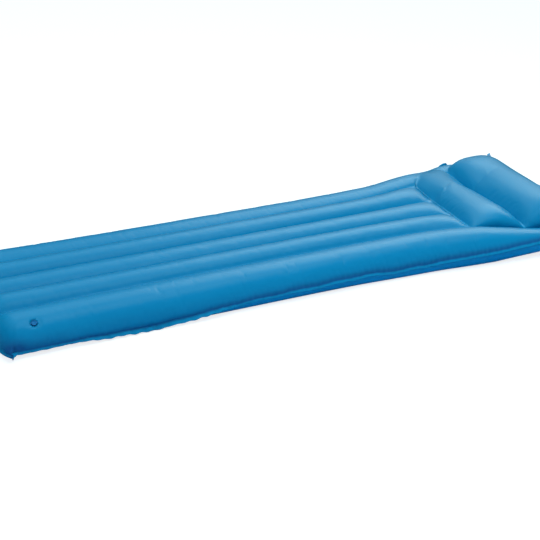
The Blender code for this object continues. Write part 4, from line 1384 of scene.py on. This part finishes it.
@dataclass
class PushInValve:
    """A push-in valve: ring, funnel membrane, stem, hinged plug and check flap."""

    # Angle over which an edge is shaded sharp
    SHARP = math.radians(42.0)
    FUNNEL_STEPS = 6
    # Height of the membrane's cuff round the stem, in walls
    CUFF_WALLS = 3
    # Rounding of a strip's edges, as a share of its thickness
    STRIP_ROUNDING = 0.35
    # Dish in the plug's top: radii of its floor and its edge, as shares of the plug's
    DISH_RADII = (0.62, 0.74)
    # Spigot's shoulder: share of its taper and of its length
    SHOULDER = (0.2, 0.75)
    # Where strap, tab and flap's tongue start, as shares of the plug's and the flap's radius
    ROOT, TONGUE_ROOT = 0.8, 0.6
    # Strap from its hinge inwards: distance and share of its thickness, thin where it bends
    STRAP = ((0.0, 1.0), (0.0006, 1.0), (0.0011, 0.55), (0.0016, 0.55), (0.0021, 1.0))
    # Tab outwards from the plug: share of its length and of the strap's thickness
    TAB = ((0.55, 1.0), (0.7, 1.5), (1.0, 1.5))

    name: str
    steps: int = 48
    hole: float = 0.0092
    flange: float = 0.0120
    flange_thickness: float = 0.0006
    collar_wall: float = 0.0008
    collar_rise: float = 0.0004
    membrane_wall: float = 0.0004
    membrane_lip: float = 0.0022
    stem: float = 0.0055
    bore: float = 0.0040
    depth: float = 0.0125
    bead: float = 0.0064
    bead_thickness: float = 0.0009
    plug: float = 0.0066
    plug_thickness: float = 0.0011
    plug_rounding: float = 0.0004
    spigot_length: float = 0.0040
    spigot_taper: float = 0.0007
    tab_length: float = 0.0038
    tab_width: float = 0.0046
    strap: float = 0.0006
    strap_width: float = 0.0040
    hinge_reach: float = 0.0028
    ear_overhang: float = 0.0010
    flap: float = 0.0006
    flap_margin: float = 0.0003
    gap: float = 0.0003
    film: float = 0.0004
    dish: float = 0.00035
    sag: float = 0.0007
    edge: float = 0.0002
    flange_rounding: float = 0.00015
    stem_rounding: float = 0.00018
    ear_overlap: float = 0.0004

    @property
    def stem_top(self) -> float:
        """Height of the stem's mouth over the skin."""
        return self.collar_rise + self.gap + self.bead_thickness

    @property
    def plug_bottom(self) -> float:
        """Height of the closed plug's underside."""
        return self.stem_top + self.gap

    @property
    def hinge(self) -> float:
        """Distance of the plug's hinge from the valve's axis."""
        return self.plug + self.hinge_reach

    @property
    def throat(self) -> float:
        """Inner radius of the collar."""
        return self.hole - self.gap - self.collar_wall

    def seat(self) -> Seat:
        """Return the seat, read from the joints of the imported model."""
        joints = {joint["name"]: joint for joint in frame["joints"]}
        swing = joints[self.name + "_plug_swing"]
        out = Vector(joints[self.name + "_pull"]["axis"]).normalized()
        across = -Vector(swing["axis"]).normalized()
        along = across.cross(out).normalized()
        hinge_out = self.plug_bottom + self.strap / 2
        origin = Vector(swing["pos_m"]) + along * self.hinge - out * hinge_out
        return Seat(origin, along, across, out)

    def build(self, moulding: bpy.types.Material, film: bpy.types.Material) -> None:
        """Make the valve's five pieces.

        Args:
            moulding: Finish of the moulded pieces.
            film: Finish of the thin membrane and flap.
        """
        seat = self.seat()
        stem_body = self.name + "_stem_body"
        for part, mesh, finish, body in (
                ("flange", self.flange_mesh(), moulding, "envelope"),
                ("stem", self.stem_mesh(), moulding, stem_body),
                ("plug", self.plug_mesh(), moulding, self.name + "_plug_body"),
                ("flap", self.flap_mesh(), film, self.name + "_flap_body")):
            piece = self.piece(part, mesh, finish, seat)
            place_piece(piece, [self.name + "_" + part], body)
        funnel = self.piece("membrane", self.membrane_mesh(), film, seat)
        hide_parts(self.name + "_membrane")
        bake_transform(funnel)
        LOG.info("%s: five pieces", self.name)

    def piece(self, part: str, mesh: bmesh.types.BMesh, finish: bpy.types.Material,
              seat: Seat) -> bpy.types.Object:
        """Put a mesh made about the valve's own axis in its place, with its finish."""
        mesh.transform(seat.matrix)
        data = bpy.data.meshes.new(f"{self.name}_{part}_moulding")
        bmesh.ops.recalc_face_normals(mesh, faces=mesh.faces[:])
        mesh.to_mesh(data)
        mesh.free()
        data.materials.append(finish)
        data.shade_smooth()
        data.set_sharp_from_angle(angle=self.SHARP)
        return add_object(data.name, data)

    def turned(self, profile: Sequence[Pair]) -> bmesh.types.BMesh:
        """Turn a profile of radii and heights into a solid, closed on the axis or on itself.

        Args:
            profile: The profile's points, in order.

        Returns:
            A new mesh with the solid.
        """
        mesh = bmesh.new()
        rings = []
        for radius, height in profile:
            if radius == 0.0:
                rings.append([mesh.verts.new((0.0, 0.0, height))] * self.steps)
                continue
            turns = [math.tau * k / self.steps for k in range(self.steps)]
            rings.append([mesh.verts.new((radius * math.cos(t), radius * math.sin(t), height))
                          for t in turns])
        pairs = list(zip(rings, rings[1:]))
        if profile[0][0] > 0.0:
            pairs.append((rings[-1], rings[0]))
        for low, high in pairs:
            for k in range(self.steps):
                corners = []
                for vertex in (low[k - 1], low[k], high[k], high[k - 1]):
                    if vertex not in corners:
                        corners.append(vertex)
                mesh.faces.new(corners)
        return mesh

    @staticmethod
    def rounded(corner: Pair, before: Pair,
                after: Pair, radius: float) -> list[Pair]:
        """Return the points of a small rounding in place of a profile's sharp corner."""
        start = Vector(corner) + (Vector(before) - Vector(corner)).normalized() * radius
        end = Vector(corner) + (Vector(after) - Vector(corner)).normalized() * radius
        middle = (start + end) / 4 + Vector(corner) / 2
        return [tuple(start), tuple(middle), tuple(end)]

    def soften(self, profile: Sequence[Pair],
               radius: float) -> list[Pair]:
        """Return a profile with its corners rounded, apart from those on the axis."""
        points = []
        count = len(profile)
        for k, corner in enumerate(profile):
            if corner[0] == 0.0:
                points.append(corner)
            else:
                points += self.rounded(corner, profile[k - 1], profile[(k + 1) % count], radius)
        return points

    def strip(self, mesh: bmesh.types.BMesh, line: Sequence[Triple],
              width: float) -> None:
        """Add a flat strip with rounded edges.

        Args:
            mesh: The mesh that it is added to.
            line: The strip's own line: distance along, underside and thickness.
            width: The strip's width.
        """
        rings = []
        for along, under, thick in line:
            half, edge = width / 2, min(thick * self.STRIP_ROUNDING, self.edge)
            shape = ((-half, under + edge), (-half + edge, under), (half - edge, under),
                     (half, under + edge), (half, under + thick - edge),
                     (half - edge, under + thick), (edge - half, under + thick),
                     (-half, under + thick - edge))
            rings.append([mesh.verts.new((along, across, height)) for across, height in shape])
        for low, high in zip(rings, rings[1:]):
            for k in range(len(low)):
                mesh.faces.new((low[k - 1], low[k], high[k], high[k - 1]))
        mesh.faces.new(rings[0])
        mesh.faces.new(rings[-1])

    def flange_mesh(self) -> bmesh.types.BMesh:
        """Return the flange: a ring inside the skin with a collar up through the hole."""
        top = -self.film - self.gap
        bottom = top - self.flange_thickness
        collar = self.hole - self.gap
        profile = [(collar, self.collar_rise), (collar, top), (self.flange, top),
                   (self.flange, bottom), (self.throat, bottom), (self.throat, self.collar_rise)]
        return self.turned(self.soften(profile, self.flange_rounding))

    def membrane_mesh(self) -> bmesh.types.BMesh:
        """Return the funnel between the flange and the foot of the stem, rolled at its bend."""
        wall = self.membrane_wall
        top = -self.film - self.gap - self.flange_thickness - self.gap
        inner = self.stem + self.gap
        low = wall - self.depth
        cuff = low + self.CUFF_WALLS * wall
        neck = self.throat - wall / 2
        lip = self.throat + self.membrane_lip
        outer, inward = [], []
        for k in range(self.FUNNEL_STEPS + 1):
            share = k / self.FUNNEL_STEPS
            radius = neck + (inner - neck) * share - self.sag * math.sin(math.pi * share)
            height = top - wall + (cuff - top + wall) * share
            outer.append((max(radius, inner) + wall, height))
            inward.append((max(radius, inner), height))
        return self.turned([(lip, top), (lip, top - wall)] + outer
                           + [(inner + wall, low), (inner, low)] + inward[::-1]
                           + [(neck, top)])

    def stem_mesh(self) -> bmesh.types.BMesh:
        """Return the tube that is blown into, with its bead and the ear that holds the strap."""
        bead = self.stem_top - self.bead_thickness
        profile = [(self.bead, self.stem_top), (self.bead, bead), (self.stem, bead),
                   (self.stem, -self.depth), (self.bore, -self.depth), (self.bore, self.stem_top)]
        mesh = self.turned(self.soften(profile, self.stem_rounding))
        line = [(-self.hinge - self.ear_overhang, bead, self.bead_thickness),
                (-self.bead + self.ear_overlap, bead, self.bead_thickness)]
        self.strip(mesh, line, self.strap_width)
        return mesh

    def plug_mesh(self) -> bmesh.types.BMesh:
        """Return the plug with its dished top, spigot, thinned strap and pull tab."""
        bottom = self.plug_bottom
        top = bottom + self.plug_thickness
        spigot = self.bore - self.gap
        floor, edge = (self.plug * share for share in self.DISH_RADII)
        taper, length = self.SHOULDER
        profile = [(0.0, top - self.dish), (floor, top - self.dish), (edge, top)]
        profile += self.rounded((self.plug, top), (0.0, top), (self.plug, bottom),
                                self.plug_rounding)
        profile += [(self.plug, bottom), (spigot, bottom),
                    (spigot - self.spigot_taper * taper, bottom - self.spigot_length * length),
                    (spigot - self.spigot_taper, bottom - self.spigot_length),
                    (0.0, bottom - self.spigot_length)]
        mesh = self.turned(profile)
        root = self.plug * self.ROOT
        line = [(-self.hinge + run, bottom, self.strap * share) for run, share in self.STRAP]
        self.strip(mesh, line + [(-root, bottom, self.strap)], self.strap_width)
        line = [(self.plug + self.tab_length * run, bottom, self.strap * share)
                for run, share in self.TAB]
        self.strip(mesh, [(root, bottom, self.strap)] + line, self.tab_width)
        return mesh

    def flap_mesh(self) -> bmesh.types.BMesh:
        """Return the check flap under the stem's inner end."""
        top = -self.depth - self.gap
        bottom = top - self.flap
        radius, edge = self.stem - self.flap_margin, self.edge
        mesh = self.turned([(0.0, top), (radius - edge, top), (radius, top - edge),
                            (radius, bottom + edge), (radius - edge, bottom), (0.0, bottom)])
        root = -radius * self.TONGUE_ROOT
        self.strip(mesh, [(-self.stem, bottom, self.flap), (root, bottom, self.flap)],
                   self.strap_width)
        return mesh


# Tints of the lamps, the light that the floor throws back, and the tone that it shows
FILL = (0.62, 0.93, 1.0)
WALL = (0.52, 0.87, 1.0)
KEY = (0.85, 1.0, 1.0)
SHEEN = (0.95, 1.0, 0.78)
BOUNCE = (0.38, 0.73, 0.88)
FLOOR_TONE = (0.45, 0.45, 0.45)
FLOOR_GLOW = 0.80
WHITE = (1.0, 1.0, 1.0, 1.0)
# Wall lamps: name, place and level; then the height of their middle and their size
WALLS = (
    ("wall_fill_head", (4.5, 0.0), 0.58), ("wall_fill_far", (0.0, 4.5), 0.58),
    ("wall_fill_foot", (-4.5, 0.0), 0.26), ("wall_fill_near", (2.4, -4.5), 0.42),
)
WALL_HEIGHT, WALL_SIZE = 1.6, (9.0, 3.2)
# Sheen panels, from the foot to the head: name, middle and width, then the levels of the one
# above the mattress and of the high and low ones behind it
PANELS = (
    ("foot_sheen", (-0.24, 1.72), 0.95, 0.32, 0.11),
    ("middle_sheen", (1.11, 0.98), 3.1, 1.00, 0.36),
    ("head_sheen", (3.00, 2.80), 4.1, 1.40, 0.54),
)
# The panel above: distance back, height and length; the ones behind: name's end, height, size
PANEL_ABOVE = (1.35, 2.7, 2.80)
PANEL_BACK = 2.75
PANELS_BEHIND = (("_high", 2.0, 1.4), ("_low", 0.8, 1.0))


class Studio:
    """Pale floor, soft light and the camera."""

    FLOOR_SIZE, FLOOR_DROP = 40.0, 0.0005
    # Camera: direction in degrees, distance, target, and its lens in millimetres
    AZIMUTH, ELEVATION, DISTANCE = 23.717, 26.31, 3.2
    TARGET = (-0.1215, -0.131, 0.061)
    LENS, SENSOR = 74.66, 36.0
    FARTHEST = 200.0

    def build(self) -> None:
        """Make the floor, the light and the camera."""
        self.floor()
        self.world()
        self.lamps()
        self.camera()

    def floor(self) -> None:
        """Make the plain pale floor."""
        mesh = bpy.data.meshes.new("studio_floor")
        sheet = bmesh.new()
        bmesh.ops.create_grid(sheet, x_segments=1, y_segments=1, size=self.FLOOR_SIZE)
        sheet.to_mesh(mesh)
        sheet.free()
        floor = add_object("studio_floor", mesh)
        floor.location.z = -self.FLOOR_DROP
        floor.visible_glossy = False
        material = bpy.data.materials.new("pale_floor")
        graph = NodeGraph(material)
        seen = graph.add("ShaderNodeLightPath", "Is Camera Ray")
        glow = graph.add("ShaderNodeMath", "Value", {0: seen, 1: FLOOR_GLOW},
                         operation="MULTIPLY")
        graph.feed(graph.nodes["Principled BSDF"], {
            "Roughness": 0.9, "Specular IOR Level": 0.0, "Emission Color": WHITE,
            "Base Color": graph.mix(seen, BOUNCE, FLOOR_TONE), "Emission Strength": glow})
        mesh.materials.append(material)

    def world(self) -> None:
        """Show the surroundings white; the lamps give all the light."""
        world = bpy.data.worlds.new("studio_air")
        graph = NodeGraph(world)
        seen = graph.add("ShaderNodeLightPath", "Is Camera Ray")
        graph.feed(graph.nodes["Background"], {"Color": WHITE, "Strength": seen})
        bpy.context.scene.world = world

    def lamps(self) -> None:
        """Hang the lamps: an even fill all round, a broad key above and the sheen's panels."""
        self.soft_box("ceiling_fill", (-1.2, 0.0, 3.2), (-1.2, 0.0, 0.0), (6.0, 7.0), 1.11, FILL,
                      False)
        for name, (x, y), level in WALLS:
            target = (0.0 if y == 0.0 else x, 0.0, WALL_HEIGHT)
            self.soft_box(name, (x, y, WALL_HEIGHT), target, WALL_SIZE, level, WALL, False)
        self.soft_box("overhead_key", (0.7, -1.2, 2.8), (0.0, 0.0, 0.1), (3.0, 1.5), 3.35, KEY,
                      False)
        back, height, length = PANEL_ABOVE
        for name, (x, width), above, *behind in PANELS:
            self.soft_box(name + "_above", (x, back, height), (x, back, 0.0), (width, length),
                          above, SHEEN, True)
            for (suffix, z, tall), level in zip(PANELS_BEHIND, behind):
                self.soft_box(name + suffix, (x, PANEL_BACK, z), (x, 0.0, z), (width, tall),
                              level, SHEEN, True)

    def soft_box(self, name: str, place: Triple, target: Triple, size: Pair, level: float,
                 tint: Triple, sheen: bool) -> None:
        """Hang one soft box.

        Args:
            name: Name of the lamp.
            place: Where it hangs.
            target: The point that it faces.
            size: Its width and height.
            level: Brightness of its face, where 1 is a white wall.
            tint: Its colour.
            sheen: Whether it shows as a reflection only, or else lights without one.
        """
        light = bpy.data.lights.new(name, "AREA")
        light.shape = "RECTANGLE"
        light.size, light.size_y = size
        light.energy = level * math.pi * size[0] * size[1]
        light.color = tint
        lamp = add_object(name, light)
        lamp.location = place
        lamp.rotation_euler = (Vector(target) - Vector(place)).to_track_quat("-Z", "Y").to_euler()
        lamp.visible_camera = False
        lamp.visible_glossy = sheen
        lamp.visible_diffuse = not sheen

    def camera(self) -> None:
        """Set the camera at the photograph's angle."""
        azimuth, elevation = math.radians(self.AZIMUTH), math.radians(self.ELEVATION)
        forward = Vector((math.sin(azimuth) * math.cos(elevation),
                          math.cos(azimuth) * math.cos(elevation), -math.sin(elevation)))
        data = bpy.data.cameras.new("photo_camera")
        data.sensor_width, data.lens, data.clip_end = self.SENSOR, self.LENS, self.FARTHEST
        camera = add_object("photo_camera", data)
        camera.location = Vector(self.TARGET) - self.DISTANCE * forward
        camera.rotation_euler = forward.to_track_quat("-Z", "Y").to_euler()
        bpy.context.scene.camera = camera


def place_piece(piece: bpy.types.Object, nodes: Sequence[str], body: str) -> None:
    """Hide the solids that a piece stands for and hang the piece on the body that carries it.

    Args:
        piece: The piece, in place.
        nodes: The solids that it stands for.
        body: The body that carries it.
    """
    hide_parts(*nodes)
    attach(piece, body)
    LOG.info("%s: %d points, rides on %s", piece.name, len(piece.data.vertices), body)


def main() -> None:
    """Build the mattress and its studio."""
    logging.basicConfig(level=logging.INFO, format="%(name)s: %(message)s")
    bpy.context.scene.view_settings.view_transform = "Standard"
    finishes = Finishes()
    sizes = BodySizes()
    body = BodyForm(sizes)
    builder = SkinBuilder(sizes.film)
    valves = [PushInValve("body_valve"), PushInValve("pillow_valve")]
    upper, lower = body.rows(Layer.UPPER), body.rows(Layer.LOWER)
    cover = PillowForm(body).rows()
    webs = WebForm(body)
    strips = [webs.rows(number, upper, lower) for number in range(4)]
    for valve, surface in zip(valves, (upper, cover)):
        valve.seat().flatten(surface)
    skins = (
        ("upper_skin", upper, True, finishes.skin, "top_sheet", "sheet", valves[0]),
        ("lower_skin", lower, False, finishes.base, "bottom_sheet", "base", None),
        ("pillow_skin", cover, True, finishes.pillow, "pillow_sheet", "pillow", valves[1]),
    )
    start = sizes.pillow_start - UNDER_PILLOW[0]
    under_pillow = ease(np.array(body.stations()), start, sizes.pillow_start - UNDER_PILLOW[1])
    for name, surface, outward, finish, node, slot, valve in skins:
        held = None
        if valve:
            welded = (surface.weld > WELDED).astype(float)
            held = np.maximum(welded, valve.seat().hold(surface))
            if surface is upper:
                held = np.maximum(held, under_pillow[:, None])
        piece = builder.build(name, surface, outward, finish.build(), held)
        if valve:
            builder.cut_hole(piece, valve.seat(), valve.hole)
        place_piece(piece, [node], "envelope")
    film = finishes.web.build()
    for number, strip in enumerate(strips):
        piece = builder.build(f"web_{number + 1}", strip, number < 2, film)
        place_piece(piece, [f"tube_web_{number + 1}"], "envelope")
    moulding, membrane = finishes.moulding.build(), finishes.membrane.build()
    for valve in valves:
        valve.build(moulding, membrane)
    Studio().build()


if __name__ == "__main__":
    main()
